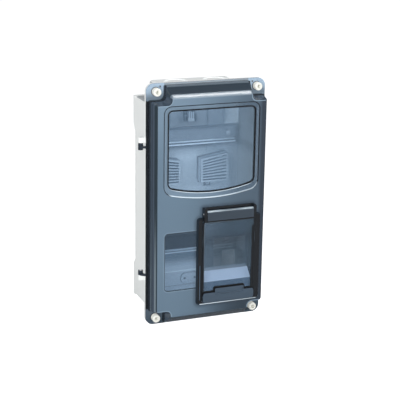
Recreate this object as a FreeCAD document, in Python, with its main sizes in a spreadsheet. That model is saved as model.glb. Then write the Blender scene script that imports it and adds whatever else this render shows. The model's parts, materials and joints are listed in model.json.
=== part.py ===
"""Electric meter box: a wall box with a hinged see-through cover and a flap over the breakers.

Millimetres. X runs to the right and Z up, seen from the front, and +Y runs into the wall.
The origin lies on the wall, in the middle of the four wall screws. A depth is a distance
from the wall towards the front, which is -Y.
"""
import FreeCAD, Part
import math
import os
import Sketcher

# Driving dimensions, each with the name of its cell in the sheet
SIZES = {
    # Back box
    "base_width": 207.2,
    "base_height": 428.0,
    "base_depth": 95.3,
    "base_wall": 2.8,
    "base_corner": 5.0,
    "notch_width": 27.6,
    "top_notch": 27.7,
    "bottom_notch": 15.4,
    "notch_corner": 4.0,
    "rim_thickness": 4.0,
    "lip_wall": 2.5,
    "lip_gap": 0.3,
    # Feet and wall screws
    "foot_height": 9.8,
    "foot_width": 34.0,
    "top_foot_low": 133.6,
    "bottom_foot_high": 138.5,
    "foot_slope": 13.6,
    "wall_screw_across": 172.0,
    "wall_screw_up": 334.0,
    "wall_hole": 6.5,
    # Cover
    "cover_width": 226.5,
    "cover_height": 450.0,
    "cover_corner": 14.0,
    "flange_thickness": 3.0,
    "cover_wall": 2.5,
    "panel_wall": 3.0,
    "flank_wall_end": 3.3,
    "inner_drop": 1.0,
    "cut_past": 1.0,
    "step_one_rise": 6.2,
    "step_two_rise": 5.0,
    "flank_rise": 14.0,
    "bevel_rise": 6.5,
    "step_one_side": 3.0,
    "step_two_side": 4.6,
    "flank_side": 6.8,
    "bevel_side": 10.5,
    "step_one_end": 3.0,
    "step_two_end": 5.5,
    "flank_end": 16.2,
    "bevel_end": 22.0,
    "seal_land_side": 5.0,
    "seal_land_end": 6.3,
    "seal_land_ear": 8.5,
    "ear_across": 81.5,
    "ear_up": 196.3,
    "ear_draft": 5.5,
    "ear_draft_shoulder": 3.9,
    "ear_draft_foot": 1.5,
    "ear_corner": 3.5,
    "ear_hollow": 8.5,
    # Gasket
    "gasket_height": 2.5,
    "gasket_width": 3.6,
    "gasket_inset": 2.0,
    # Upper window
    "window_left": 90.2,
    "window_top": 188.2,
    "window_side_end": 31.2,
    "window_middle_end": 18.9,
    "window_corner": 13.0,
    "pane_corner": 8.0,
    "window_frame": 7.6,
    "window_frame_low": 10.7,
    "window_first_step": 1.0,
    "window_second_step": 1.2,
    "pane_wall": 2.8,
    # Lower left window
    "side_window_left": 89.2,
    "side_window_top": 42.0,
    "side_window_bottom": 152.6,
    "side_window_corner": 7.5,
    "side_window_step": 0.7,
    # Breaker pocket and opening in the cover
    "pocket_left": 15.6,
    "pocket_right": 81.0,
    "pocket_top": 30.0,
    "pocket_bottom": 143.0,
    "pocket_depth": 20.5,
    "opening_left": 14.1,
    "opening_right": 78.0,
    "opening_top": 67.0,
    # Flap over the pocket
    "door_left": 17.6,
    "door_right": 84.9,
    "door_top": 25.2,
    "door_bottom": 181.0,
    "door_corner": 6.0,
    "door_lift": 0.6,
    "door_plate": 2.5,
    "door_rim_height": 2.9,
    "door_rim_wall": 2.0,
    "door_gap": 0.8,
    "door_border": 2.4,
    "door_border_step": 0.5,
    "door_window_corner": 3.0,
    "strip_top": 161.0,
    "strip_inset": 1.0,
    "strip_corner": 4.0,
    "grip_left": 6.8,
    "grip_right": 64.4,
    "grip_top": 153.5,
    "grip_corner": 2.0,
    "scoop_wall": 2.0,
    "scoop_long": 9.5,
    "scoop_depth": 1.5,
    "scoop_corner": 1.5,
    "rib_down": 13.4,
    "rib_wide": 0.95,
    "strip_height": 2.2,
    "rib_pitch": 1.9,
    "rib_height": 0.5,
    "rib_count": 3,
    "hinge_left": 11.6,
    "hinge_right": 77.9,
    "hinge_low": 24.2,
    "hinge_axis_down": 9.2,
    "hinge_axis_lift": 8.6,
    "hinge_round": 5.6,
    "hinge_corner": 1.8,
    "shoulder_corner": 3.0,
    "door_pin": 3.0,
    "door_pin_length": 15.0,
    "door_pin_play": 0.05,
    "door_bore_spare": 1.0,
    "door_seal_width": 2.4,
    "door_seal_gap": 0.3,
    # Collar round the flap
    "collar_left": 10.7,
    "collar_right": 12.6,
    "collar_top": 7.7,
    "collar_low": 4.6,
    "collar_slope": 3.0,
    "collar_slope_end": 1.5,
    "collar_height": 4.6,
    "collar_corner": 8.0,
    "collar_shoulder": 6.5,
    "cheek_width": 5.6,
    "cheek_gap": 0.4,
    "cheek_height": 12.5,
    "cheek_top": 1.2,
    "cheek_corner": 2.5,
    # Cover screws
    "screw_across": 192.4,
    "screw_up": 422.0,
    "screw_head": 14.4,
    "screw_head_height": 11.0,
    "screw_shank": 6.0,
    "screw_tip": 8.9,
    "screw_play": 1.3,
    "screw_recess": 7.6,
    "screw_recess_depth": 3.0,
    "screw_slot": 2.0,
    "screw_slot_depth": 3.0,
    "screw_head_edge": 1.2,
    "screw_boss": 13.0,
    "screw_boss_length": 27.0,
    "washer_width": 16.0,
    "washer_thickness": 1.0,
    "washer_play": 0.3,
    "seal_hole_out": 8.25,
    "seal_hole": 2.2,
    # Cover hinge
    "pivot_out": 6.15,
    "pivot_back": 9.1,
    "pivot_pin": 4.0,
    "pivot_play": 0.05,
    "pivot_pin_spare": 1.0,
    "knuckle": 9.0,
    "knuckle_height": 9.7,
    "upper_clip_height": 12.7,
    "lower_clip_height": 8.3,
    "clip_gap": 0.3,
    "clip_mouth": 3.0,
    "clip_mouth_deep": 5.4,
    "clip_arm_side": 2.7,
    "clip_arm_near": 3.6,
    "clip_arm_far": 6.75,
    "clip_arm_root": 2.0,
    "clip_arm_inner": 0.5,
    "clip_arm_high": 4.0,
    "upper_clip_low": 105.3,
    "lower_clip_high": 121.0,
    # Rails and their posts
    "rail_width": 35.0,
    "rail_height": 7.5,
    "rail_sheet": 1.0,
    "rail_inner": 27.0,
    "rail_length": 165.0,
    "rail_front": 44.0,
    "upper_rail_up": 113.0,
    "lower_rail_down": 94.6,
    "rail_screw_out": 70.0,
    "rail_post": 14.0,
    "small_shank": 3.8,
    "small_head": 7.6,
    "small_head_height": 2.6,
    "small_pilot": 10.0,
    "small_spare": 1.0,
    "small_play": 0.1,
    "drive_wide": 1.2,
    "drive_long": 5.2,
    "drive_deep": 1.3,
    # Meter supports and hook
    "support_inner": 20.4,
    "support_outer": 74.9,
    "support_low": 19.0,
    "support_inner_top": 64.5,
    "support_outer_top": 73.0,
    "support_front": 36.0,
    "support_shift": 2.9,
    "support_wall": 2.0,
    "support_slots": 8,
    "support_slot_wide": 2.6,
    "support_margin": 3.6,
    "support_tab": 13.0,
    "support_screw_out": 41.0,
    "hook_width": 22.0,
    "hook_up": 148.0,
    "hook_height": 26.0,
    "hook_front": 26.0,
    "hook_plate": 3.0,
    "hook_slot": 2.2,
    "hook_slot_pitch": 3.96,
    "hook_slot_long": 8.0,
    "hook_block_high": 12.8,
    "hook_tongue_high": 18.4,
    "hook_tongue_wide": 13.2,
    "hook_screw_down": 5.3,
    # Ribs, band and pads on the floor of the box
    "floor_rib_out": 37.6,
    "floor_rib_wide": 1.6,
    "floor_rib_high": 1.5,
    "band_top": 161.0,
    "band_bottom": 190.0,
    "pad_out": 5.0,
    "pad_down": 175.5,
    "pad_long": 36.0,
    "pad_wide": 21.0,
    "pad_high": 3.5,
    "pad_hole": 3.0,
    "pad_hole_pitch": 20.6,
    # Knockouts in the top and bottom walls
    "knockout": 44.0,
    "knockout_inner": 32.0,
    "knockout_depth": 1.3,
    "knockout_pitch": 76.0,
    "knockout_shift": 4.0,
    "knockout_front": 36.0,
}

# Round ends keep a short flat, so that they stay a rounded rectangle
NEARLY_ROUND = 0.95

doc = FreeCAD.newDocument("meter_box")
sheet = doc.addObject("Spreadsheet::Sheet", "sizes")
for row, (alias, number) in enumerate(SIZES.items(), start=1):
    sheet.set("A%d" % row, alias)
    sheet.set("B%d" % row, "%g" % number)
    sheet.setAlias("B%d" % row, alias)
doc.recompute()


class Size:
    """A length with the formula that gives it from the cells of the sheet."""

    def __init__(self, value, formula):
        self.value = value
        self.formula = formula

    def joined(self, sign, other, value):
        return Size(value, "(%s %s %s)" % (self.formula, sign, other.formula))

    def __add__(self, other):
        other = size_of(other)
        return self.joined("+", other, self.value + other.value)

    def __sub__(self, other):
        other = size_of(other)
        return self.joined("-", other, self.value - other.value)

    def __mul__(self, other):
        other = size_of(other)
        return self.joined("*", other, self.value * other.value)

    def __truediv__(self, other):
        other = size_of(other)
        return self.joined("/", other, self.value / other.value)

    def __neg__(self):
        return Size(-self.value, "(0 - %s)" % self.formula)

    __radd__ = __add__

    def __rsub__(self, other):
        return size_of(other) - self


def size_of(item):
    """A plain number as a size."""
    if isinstance(item, Size):
        return item
    return Size(float(item), "(%.10g)" % item)


def cell(alias):
    """The size in one cell of the sheet."""
    return Size(float(SIZES[alias]), "sizes." + alias)


def bind(thing, prop, size):
    thing.setExpression(prop, size_of(size).formula)


# Sketches

def new_body(name):
    body = doc.addObject("PartDesign::Body", name)
    body.Label = name
    return body


def origin_plane(body, role):
    return [feature for feature in body.Origin.OriginFeatures if feature.Role == role][0]


def new_sketch(body, name, role, offset=0):
    """A sketch on an origin plane of its body, moved along the plane's normal."""
    sketch = body.newObject("Sketcher::SketchObject", name)
    sketch.AttachmentSupport = [(origin_plane(body, role), "")]
    sketch.MapMode = "FlatFace"
    bind(sketch, "AttachmentOffset.Base.z", offset)
    return sketch


def front_sketch(body, name, depth):
    """A sketch seen from the front: its x is X, its y is Z, and its normal is the depth."""
    return new_sketch(body, name, "XZ_Plane", depth)


def side_sketch(body, name, out):
    """A sketch seen from the right: its x is Y and its y is Z."""
    return new_sketch(body, name, "YZ_Plane", out)


def plan_sketch(body, name, up):
    """A sketch seen from above: its x is X and its y is Y."""
    return new_sketch(body, name, "XY_Plane", up)


class Drawing:
    """Edges and constraints for one sketch, which takes them all at once."""

    def __init__(self, sketch):
        self.sketch = sketch
        self.edges = []
        self.rules = []
        self.sizes = []
        self.first_edge = sketch.GeometryCount
        self.first_rule = sketch.ConstraintCount

    def add(self, edge):
        self.edges.append(edge)
        return self.first_edge + len(self.edges) - 1

    def rule(self, *terms):
        self.rules.append(Sketcher.Constraint(*terms))

    def sized_rule(self, kind, *terms):
        """A constraint whose last term is a size."""
        size = size_of(terms[-1])
        self.sizes.append((self.first_rule + len(self.rules), size))
        self.rule(kind, *terms[:-1], size.value)

    def fix_point(self, edge, point, x, y):
        """Ties one point of an edge to the origin by two sizes."""
        self.sized_rule("DistanceX", -1, 1, edge, point, x)
        self.sized_rule("DistanceY", -1, 1, edge, point, y)

    def join(self, edge, point, other, other_point):
        self.rule("Coincident", edge, point, other, other_point)

    def hand_over(self):
        self.sketch.addGeometry(self.edges, False)
        self.sketch.addConstraint(self.rules)
        for number, size in self.sizes:
            bind(self.sketch, "Constraints[%d]" % number, size)


def vector(x, y):
    return FreeCAD.Vector(size_of(x).value, size_of(y).value, 0)


def unit_step(start, end):
    """The direction from one point to the next, along one of the two axes."""
    step = end - start
    return FreeCAD.Vector(round(step.x / step.Length), round(step.y / step.Length), 0)


def round_arc(centre, radius, first_angle, last_angle):
    return Part.ArcOfCircle(Part.Circle(centre, FreeCAD.Vector(0, 0, 1), radius), first_angle, last_angle)


def add_corner_arc(drawing, corner, before, after):
    """Rounds one right-angled corner. Gives each end of the arc and its place, in running order."""
    x, y, radius = corner
    radius = size_of(radius)
    to_before = unit_step(vector(x, y), before)
    to_after = unit_step(vector(x, y), after)
    centre_x = size_of(x) + radius * (to_before.x + to_after.x)
    centre_y = size_of(y) + radius * (to_before.y + to_after.y)
    centre = vector(centre_x, centre_y)
    start = -to_after
    end = -to_before
    turns_left = start.cross(end).z > 0
    first = start if turns_left else end
    angle = math.atan2(first.y, first.x)
    arc = drawing.add(round_arc(centre, radius.value, angle, angle + math.pi / 2))
    start_end, end_end = (1, 2) if turns_left else (2, 1)
    drawing.fix_point(arc, 3, centre_x, centre_y)
    drawing.sized_rule("Radius", arc, radius)
    level, upright = (start_end, end_end) if abs(to_after.x) > 0.5 else (end_end, start_end)
    drawing.rule("Horizontal", arc, 3, arc, level)
    drawing.rule("Vertical", arc, 3, arc, upright)
    return ((arc, start_end, centre + start * radius.value), (arc, end_end, centre + end * radius.value))


def outline(sketch, corners):
    """A closed outline through (x, y, radius) corners. A rounded corner is a right angle."""
    drawing = Drawing(sketch)
    corners = [corner if len(corner) == 3 else (corner[0], corner[1], 0) for corner in corners]
    places = [vector(x, y) for x, y, _ in corners]
    arcs = {}
    for number, corner in enumerate(corners):
        if size_of(corner[2]).value > 0:
            after = places[(number + 1) % len(corners)]
            arcs[number] = add_corner_arc(drawing, corner, places[number - 1], after)
    lines = []
    for number, place_here in enumerate(places):
        following = (number + 1) % len(corners)
        start = arcs[number][1][2] if number in arcs else place_here
        end = arcs[following][0][2] if following in arcs else places[following]
        lines.append(drawing.add(Part.LineSegment(start, end)))
    for number, corner in enumerate(corners):
        entering = lines[number - 1]
        leaving = lines[number]
        if number in arcs:
            (arc, start_end, _), (_, end_end, _) = arcs[number]
            drawing.join(entering, 2, arc, start_end)
            drawing.join(leaving, 1, arc, end_end)
        else:
            drawing.join(entering, 2, leaving, 1)
            drawing.fix_point(leaving, 1, corner[0], corner[1])
    drawing.hand_over()


def rectangle(sketch, left, right, low, high, radius=0):
    outline(sketch, [(left, low, radius), (right, low, radius),
                     (right, high, radius), (left, high, radius)])


def circle(sketch, x, y, radius):
    drawing = Drawing(sketch)
    radius = size_of(radius)
    edge = drawing.add(Part.Circle(vector(x, y), FreeCAD.Vector(0, 0, 1), radius.value))
    drawing.fix_point(edge, 3, x, y)
    drawing.sized_rule("Radius", edge, radius)
    drawing.hand_over()


# Features

def settle(feature, adds):
    """Works the feature out and makes sure that it has added or cut something."""
    body = feature.getParentGeoFeatureGroup()
    before = 0.0
    if feature.BaseFeature is not None:
        before = feature.BaseFeature.Shape.Volume
    doc.recompute()
    change = feature.Shape.Volume - before
    if (adds and change <= 0) or (not adds and change >= 0):
        raise RuntimeError("%s in %s changes the volume by %.3f" % (feature.Name, body.Name, change))
    return feature


def pad(body, sketch, length, reverse=False):
    """Fills a sketch along its normal, or against it."""
    feature = body.newObject("PartDesign::Pad", "pad_" + sketch.Name)
    feature.Profile = sketch
    feature.Reversed = reverse
    bind(feature, "Length", length)
    return settle(feature, True)


def pocket(body, sketch, length, along=True):
    """Cuts a sketch along its normal, or against it."""
    feature = body.newObject("PartDesign::Pocket", "cut_" + sketch.Name)
    feature.Profile = sketch
    feature.Reversed = along
    bind(feature, "Length", length)
    return settle(feature, False)


def loft(body, kind, sketches):
    """A straight-sided loft through several sketches, added or cut."""
    feature = body.newObject("PartDesign::%sLoft" % kind, kind.lower() + "_" + sketches[0].Name)
    feature.Profile = sketches[0]
    feature.Sections = sketches[1:]
    feature.Ruled = True
    return settle(feature, kind == "Additive")


def turn(body, sketch):
    """Turns a sketch once round its own upright axis."""
    feature = body.newObject("PartDesign::Revolution", "turn_" + sketch.Name)
    feature.Profile = sketch
    feature.ReferenceAxis = (sketch, ["V_Axis"])
    feature.Angle = 360.0
    return settle(feature, True)


def mirror(body, features, role):
    """Repeats features on the other side of an origin plane."""
    feature = body.newObject("PartDesign::Mirrored", "mirror_" + features[0].Name)
    feature.Originals = features
    feature.MirrorPlane = (origin_plane(body, role), [""])
    body.Tip = feature
    doc.recompute()
    return feature


def row_of(body, features, role, pitch, count):
    """Repeats features in a row along the normal of an origin plane."""
    feature = body.newObject("PartDesign::LinearPattern", "row_" + features[0].Name)
    feature.Originals = features
    feature.Direction = (origin_plane(body, role), [""])
    feature.Mode = "Spacing"
    bind(feature, "Offset", pitch)
    feature.Occurrences = count
    body.Tip = feature
    doc.recompute()
    return feature


def round_edges(body, feature, edges, radius):
    """Rounds edges of a feature, picked by their numbers."""
    fillet = body.newObject("PartDesign::Fillet", "round_" + feature.Name)
    fillet.Base = (feature, ["Edge%d" % number for number in edges])
    bind(fillet, "Radius", radius)
    doc.recompute()
    return fillet


def upright_edges(feature, places, reach=0.01):
    """Numbers of the edges along Y that pass through the given X and Z places."""
    found = []
    for number, edge in enumerate(feature.Shape.Edges, start=1):
        box = edge.BoundBox
        if box.XLength > reach or box.ZLength > reach:
            continue
        for x, z in places:
            if abs(box.XMin - x.value) < reach and abs(box.ZMin - z.value) < reach:
                found.append(number)
    return found


def place(body, x, depth, z):
    """Moves a piece that is drawn round its own axis to its seat."""
    bind(body, "Placement.Base.x", x)
    bind(body, "Placement.Base.y", -size_of(depth))
    bind(body, "Placement.Base.z", z)


# Levels and lines that several pieces share

floor_depth = cell("foot_height") + cell("base_wall")
rim_depth = cell("base_depth")
rim_back = rim_depth - cell("rim_thickness")
flange_back = rim_depth + cell("gasket_height")
flange_front = flange_back + cell("flange_thickness")
step_one_depth = flange_front + cell("step_one_rise")
step_two_depth = step_one_depth + cell("step_two_rise")
flank_depth = step_two_depth + cell("flank_rise")
panel_depth = flank_depth + cell("bevel_rise")
base_side = cell("base_width") / 2
base_end = cell("base_height") / 2
cover_side = cell("cover_width") / 2
cover_end = cell("cover_height") / 2
screw_x = cell("screw_across") / 2
screw_z = cell("screw_up") / 2
pivot_x = -(cover_side + cell("pivot_out"))
pivot_depth = flange_back - cell("pivot_back")
door_back = panel_depth + cell("door_lift")
plate_back = door_back + cell("door_rim_height")
plate_front = plate_back + cell("door_plate")
door_axis_depth = panel_depth + cell("hinge_axis_lift")
door_axis_z = -cell("hinge_axis_down")
upper_clip = (cell("upper_clip_low"), cell("upper_clip_low") + cell("upper_clip_height"))
lower_clip = (-(cell("lower_clip_high") + cell("lower_clip_height")), -cell("lower_clip_high"))
upper_knuckle = (upper_clip[1] + cell("clip_gap"), upper_clip[1] + cell("clip_gap") + cell("knuckle_height"))
lower_knuckle = (lower_clip[0] - cell("clip_gap") - cell("knuckle_height"), lower_clip[0] - cell("clip_gap"))


def notched_corners(side, end, across, upper, lower, corner, hollow):
    """The outline of a box whose four corners are cut back to make room for the screws."""
    return [
        (-across, -end, corner), (across, -end, corner), (across, -lower, hollow),
        (side, -lower, corner), (side, upper, corner), (across, upper, hollow),
        (across, end, corner), (-across, end, corner), (-across, upper, hollow),
        (-side, upper, corner), (-side, -lower, corner), (-across, -lower, hollow),
    ]


def base_outline(sketch, outwards):
    """The outline of the back box, moved outwards or, with a negative size, inwards."""
    outwards = size_of(outwards)
    corner = cell("base_corner")
    if outwards.value < 0:
        corner = corner - cell("base_wall") / 2
    outline(sketch, notched_corners(
        base_side + outwards, base_end + outwards,
        base_side - cell("notch_width") + outwards,
        base_end - cell("top_notch") + outwards,
        base_end - cell("bottom_notch") + outwards,
        corner, cell("notch_corner")))


def cover_outline(sketch, side_inset, end_inset, ear_inset):
    """The outline of the cover's raised part at one level."""
    outline(sketch, notched_corners(
        cover_side - side_inset, cover_end - end_inset,
        cell("ear_across") - ear_inset, cell("ear_up") - ear_inset,
        cell("ear_up") - ear_inset, cell("ear_corner"), cell("ear_hollow")))


# Back box

def build_base():
    body = new_body("base_housing")
    shell = front_sketch(body, "shell", cell("foot_height"))
    base_outline(shell, 0)
    pad(body, shell, rim_depth - cell("foot_height"))
    add_knockouts(body)
    add_feet(body)
    add_rim(body)
    add_screw_posts(body)
    add_knuckles(body)
    inside = front_sketch(body, "inside", floor_depth)
    base_outline(inside, -cell("base_wall"))
    pocket(body, inside, rim_depth - floor_depth)
    hollow_feet(body)
    add_wall_holes(body)
    add_rail_posts(body)
    add_floor_details(body)
    return body


def foot_profiles(sketch, inwards):
    """The side view of the two feet on one side, moved inwards by a wall."""
    back = -inwards
    face = -(cell("foot_height") + inwards)
    top = base_end - cell("top_notch") - inwards
    top_low = cell("top_foot_low") + inwards
    bottom = -(base_end - cell("bottom_notch") - inwards)
    bottom_high = -(cell("bottom_foot_high") + inwards)
    slope = cell("foot_slope")
    outline(sketch, [(back, top), (back, top_low), (face, top_low - slope), (face, top)])
    outline(sketch, [(back, bottom), (face, bottom), (face, bottom_high + slope), (back, bottom_high)])


def add_feet(body):
    feet = side_sketch(body, "feet", -base_side)
    foot_profiles(feet, size_of(0))
    mirror(body, [pad(body, feet, cell("foot_width"))], "YZ_Plane")


def hollow_feet(body):
    wall = cell("base_wall")
    hollows = side_sketch(body, "foot_hollows", -(base_side - wall))
    foot_profiles(hollows, wall)
    mirror(body, [pocket(body, hollows, cell("foot_width") - wall * 2)], "YZ_Plane")


def add_rim(body):
    """A flat rim as large as the cover, with a lip round it that stands up round the gasket."""
    plate = front_sketch(body, "rim", rim_back)
    cover_rectangle(plate, 0)
    pad(body, plate, cell("rim_thickness"))
    lip = front_sketch(body, "lip", rim_depth)
    cover_rectangle(lip, 0)
    cover_rectangle(lip, cell("lip_wall"))
    pad(body, lip, cell("gasket_height") - cell("lip_gap"))


def cover_rectangle(sketch, inset):
    """The rounded rectangle that the rim and the cover's flange share, moved inwards."""
    side = cover_side - inset
    end = cover_end - inset
    rectangle(sketch, -side, side, -end, end, cell("cover_corner") - inset)


def add_screw_posts(body):
    """A post behind each corner of the rim for one of the cover's screws."""
    posts = front_sketch(body, "screw_posts", rim_depth - cell("screw_boss_length"))
    draw_screw_circles(posts, cell("screw_boss") / 2)
    pad(body, posts, cell("screw_boss_length"))
    holes = front_sketch(body, "screw_holes", rim_depth - cell("screw_boss_length"))
    draw_screw_circles(holes, cell("screw_shank") / 2 + cell("screw_play"))
    pocket(body, holes, cell("screw_boss_length"))


def draw_screw_circles(sketch, radius):
    for x_sign in (1, -1):
        for z_sign in (1, -1):
            circle(sketch, screw_x * x_sign, screw_z * z_sign, radius)


def add_knuckles(body):
    """Two arms on the left wall that carry the cover's pivot pins."""
    back = -(pivot_depth - cell("knuckle") / 2)
    front = -(rim_back + cell("rim_thickness") / 2)
    for name, (low, high) in (("upper", upper_knuckle), ("lower", lower_knuckle)):
        arm = plan_sketch(body, name + "_arm", low)
        outline(arm, [(pivot_x, front), (-base_side, front), (-base_side, back), (pivot_x, back)])
        pad(body, arm, high - low)
        eye = plan_sketch(body, name + "_eye", low)
        circle(eye, pivot_x, -pivot_depth, cell("knuckle") / 2)
        pad(body, eye, high - low)
        hole = plan_sketch(body, name + "_pin_hole", low)
        circle(hole, pivot_x, -pivot_depth, cell("pivot_pin") / 2)
        pocket(body, hole, high - low)


def add_wall_holes(body):
    holes = front_sketch(body, "wall_holes", 0)
    for x in (1, -1):
        for z in (1, -1):
            circle(holes, cell("wall_screw_across") / 2 * x, cell("wall_screw_up") / 2 * z,
                   cell("wall_hole") / 2)
    pocket(body, holes, cell("base_wall"))


def rail_levels():
    return {"upper": cell("upper_rail_up"), "lower": -cell("lower_rail_down")}


def rail_back():
    return cell("rail_front") - cell("rail_height")


def add_rail_posts(body):
    half = cell("rail_post") / 2
    for name, level in rail_levels().items():
        posts = front_sketch(body, name + "_rail_posts", floor_depth)
        holes = front_sketch(body, name + "_rail_pilots", rail_back() - cell("small_pilot"))
        for sign in (1, -1):
            out = cell("rail_screw_out") * sign
            rectangle(posts, out - half, out + half, level - half, level + half)
            circle(holes, out, level, cell("small_shank") / 2)
        pad(body, posts, rail_back() - floor_depth)
        pocket(body, holes, cell("small_pilot"))


def add_floor_details(body):
    """Ribs, the band across the bottom, the terminal pad and the small bosses on the floor."""
    half = cell("floor_rib_wide") / 2
    ribs = front_sketch(body, "floor_ribs", floor_depth)
    for sign in (1, -1):
        out = cell("floor_rib_out") * sign
        rectangle(ribs, out - half, out + half, cell("support_outer_top") + cell("support_wall"),
                  base_end - cell("base_wall"))
    side = base_side - cell("foot_width") - cell("base_wall")
    rectangle(ribs, -side, side, -cell("band_bottom"), -cell("band_top"))
    pad(body, ribs, cell("floor_rib_high"))
    pad_front = floor_depth + cell("floor_rib_high")
    terminal = front_sketch(body, "terminal_pad", floor_depth)
    high = cell("pad_wide") / 2
    long = cell("pad_long") / 2
    rectangle(terminal, cell("pad_out") - long, cell("pad_out") + long,
              -cell("pad_down") - high, -cell("pad_down") + high, high * NEARLY_ROUND)
    pad(body, terminal, cell("pad_high"))
    screws = front_sketch(body, "terminal_holes", pad_front)
    for sign in (1, -1):
        circle(screws, cell("pad_out") + cell("pad_hole_pitch") / 2 * sign, -cell("pad_down"),
               cell("pad_hole") / 2)
    pocket(body, screws, cell("pad_high") - cell("floor_rib_high"))


def add_knockouts(body):
    """Two ring-shaped recesses in the top and bottom walls, thin enough to push out."""
    rings = plan_sketch(body, "knockout_rings", base_end)
    for sign in (1, -1):
        x = cell("knockout_shift") + cell("knockout_pitch") / 2 * sign
        for width in (cell("knockout"), cell("knockout_inner")):
            circle(rings, x, -cell("knockout_front"), width / 2)
    mirror(body, [pocket(body, rings, cell("knockout_depth"), along=False)], "XY_Plane")


# Cover

def build_cover():
    body = new_body("cover")
    add_flange(body)
    add_clips(body)
    add_cover_holes(body)
    add_raised_part(body)
    hollow_cover(body)
    add_pocket_walls(body)
    cut_pocket(body)
    add_side_window(body)
    add_collar(body)
    add_window(body)
    return body


def add_flange(body):
    flange = front_sketch(body, "flange", flange_back)
    cover_rectangle(flange, 0)
    pad(body, flange, cell("flange_thickness"))


def add_raised_part(body):
    step_one = front_sketch(body, "step_one", flange_front)
    cover_outline(step_one, cell("step_one_side"), cell("step_one_end"), 0)
    pad(body, step_one, cell("step_one_rise"))
    step_two = front_sketch(body, "step_two", step_one_depth)
    cover_outline(step_two, cell("step_two_side"), cell("step_two_end"),
                  cell("ear_draft_foot"))
    pad(body, step_two, cell("step_two_rise"))
    foot = front_sketch(body, "flank_foot", step_two_depth)
    cover_outline(foot, cell("step_two_side"), cell("step_two_end"),
                  cell("ear_draft_foot"))
    shoulder = front_sketch(body, "flank_shoulder", flank_depth)
    cover_outline(shoulder, cell("flank_side"), cell("flank_end"), cell("ear_draft_shoulder"))
    top = front_sketch(body, "panel_edge", panel_depth)
    cover_outline(top, cell("bevel_side"), cell("bevel_end"), cell("ear_draft"))
    loft(body, "Additive", [foot, shoulder, top])


def cover_hollow(sketch, side_inset, end_inset, ear_inset):
    """The outline of the cover's inside at one level, whose corners are plain."""
    outline(sketch, notched_corners(
        cover_side - side_inset, cover_end - end_inset,
        cell("ear_across") - ear_inset, cell("ear_up") - ear_inset,
        cell("ear_up") - ear_inset, 0, 0))


def hollow_cover(body):
    """The inside of the cover follows its outside at one wall's distance."""
    wall = cell("cover_wall")
    step_inside = step_two_depth - cell("inner_drop")
    land = (cell("step_one_side") + cell("seal_land_side"), cell("step_one_end") + cell("seal_land_end"),
            cell("seal_land_ear"))
    mouth = front_sketch(body, "mouth", flange_back)
    cover_hollow(mouth, *land)
    pocket(body, mouth, step_inside - flange_back)
    foot = front_sketch(body, "inner_foot", step_inside)
    cover_hollow(foot, *land)
    shoulder = front_sketch(body, "inner_shoulder", flank_depth - cell("inner_drop"))
    cover_hollow(shoulder, cell("flank_side") + wall, cell("flank_end") + cell("flank_wall_end"),
                 wall + cell("ear_draft_shoulder"))
    top = front_sketch(body, "inner_panel", panel_depth - cell("panel_wall"))
    cover_hollow(top, cell("bevel_side") + wall, cell("bevel_end") + wall, wall + cell("ear_draft"))
    loft(body, "Subtractive", [foot, shoulder, top])


def pocket_profile(sketch, front, outwards):
    """The side view of the breaker pocket, moved outwards by a wall: its two flanks lean at 45 degrees."""
    back = panel_depth - cell("pocket_depth") - outwards
    shift = outwards * math.sqrt(2)
    top = shift - cell("pocket_top")
    bottom = -(cell("pocket_bottom") + shift)
    past = front - panel_depth
    run = cell("pocket_depth") + outwards
    outline(sketch, [(-front, bottom - past), (-back, bottom + run),
                     (-back, top - run), (-front, top + past)])


def add_pocket_walls(body):
    wall = cell("cover_wall")
    walls = side_sketch(body, "pocket_walls", -(cell("pocket_left") + wall))
    pocket_profile(walls, panel_depth - cell("panel_wall") / 2, wall)
    pad(body, walls, cell("pocket_left") + cell("pocket_right") + wall * 2)


def cut_pocket(body):
    room = side_sketch(body, "pocket_room", -cell("pocket_left"))
    pocket_profile(room, panel_depth + cell("cut_past"), size_of(0))
    pocket(body, room, cell("pocket_left") + cell("pocket_right"))
    behind = panel_depth - cell("pocket_depth") - cell("cover_wall") * 2
    opening = front_sketch(body, "breaker_opening", behind)
    rectangle(opening, cell("opening_left"), cell("opening_right"),
              cell("pocket_depth") - cell("pocket_bottom"), -cell("opening_top"))
    pocket(body, opening, cell("cover_wall") * 2 + cell("cut_past"))


def door_corners(left_out, right_out, top_out, low_out, corner, shoulder_corner, hinge_out, hinge_top):
    """The outline of the flap and its hinge block together, moved outwards."""
    left = -(cell("door_left") + left_out)
    right = cell("door_right") + right_out
    shoulder = top_out - cell("door_top")
    bottom = -(cell("door_bottom") + low_out)
    hinge_left = -(cell("hinge_left") + hinge_out)
    hinge_right = cell("hinge_right") + hinge_out
    small = cell("hinge_corner")
    return [(left, bottom, corner), (right, bottom, corner), (right, shoulder, shoulder_corner),
            (hinge_right, shoulder), (hinge_right, hinge_top, small),
            (hinge_left, hinge_top, small), (hinge_left, shoulder), (left, shoulder, shoulder_corner)]


def collar_corners(inset, end_inset):
    """The outside of the collar, drawn in by two insets as it rises from the panel."""
    return door_corners(cell("collar_left") - inset, cell("collar_right") - inset,
                        cell("collar_top") - end_inset, cell("collar_low") - end_inset,
                        cell("collar_corner"), cell("collar_shoulder"),
                        cell("cheek_gap") + cell("cheek_width"), cell("cheek_top"))


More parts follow.
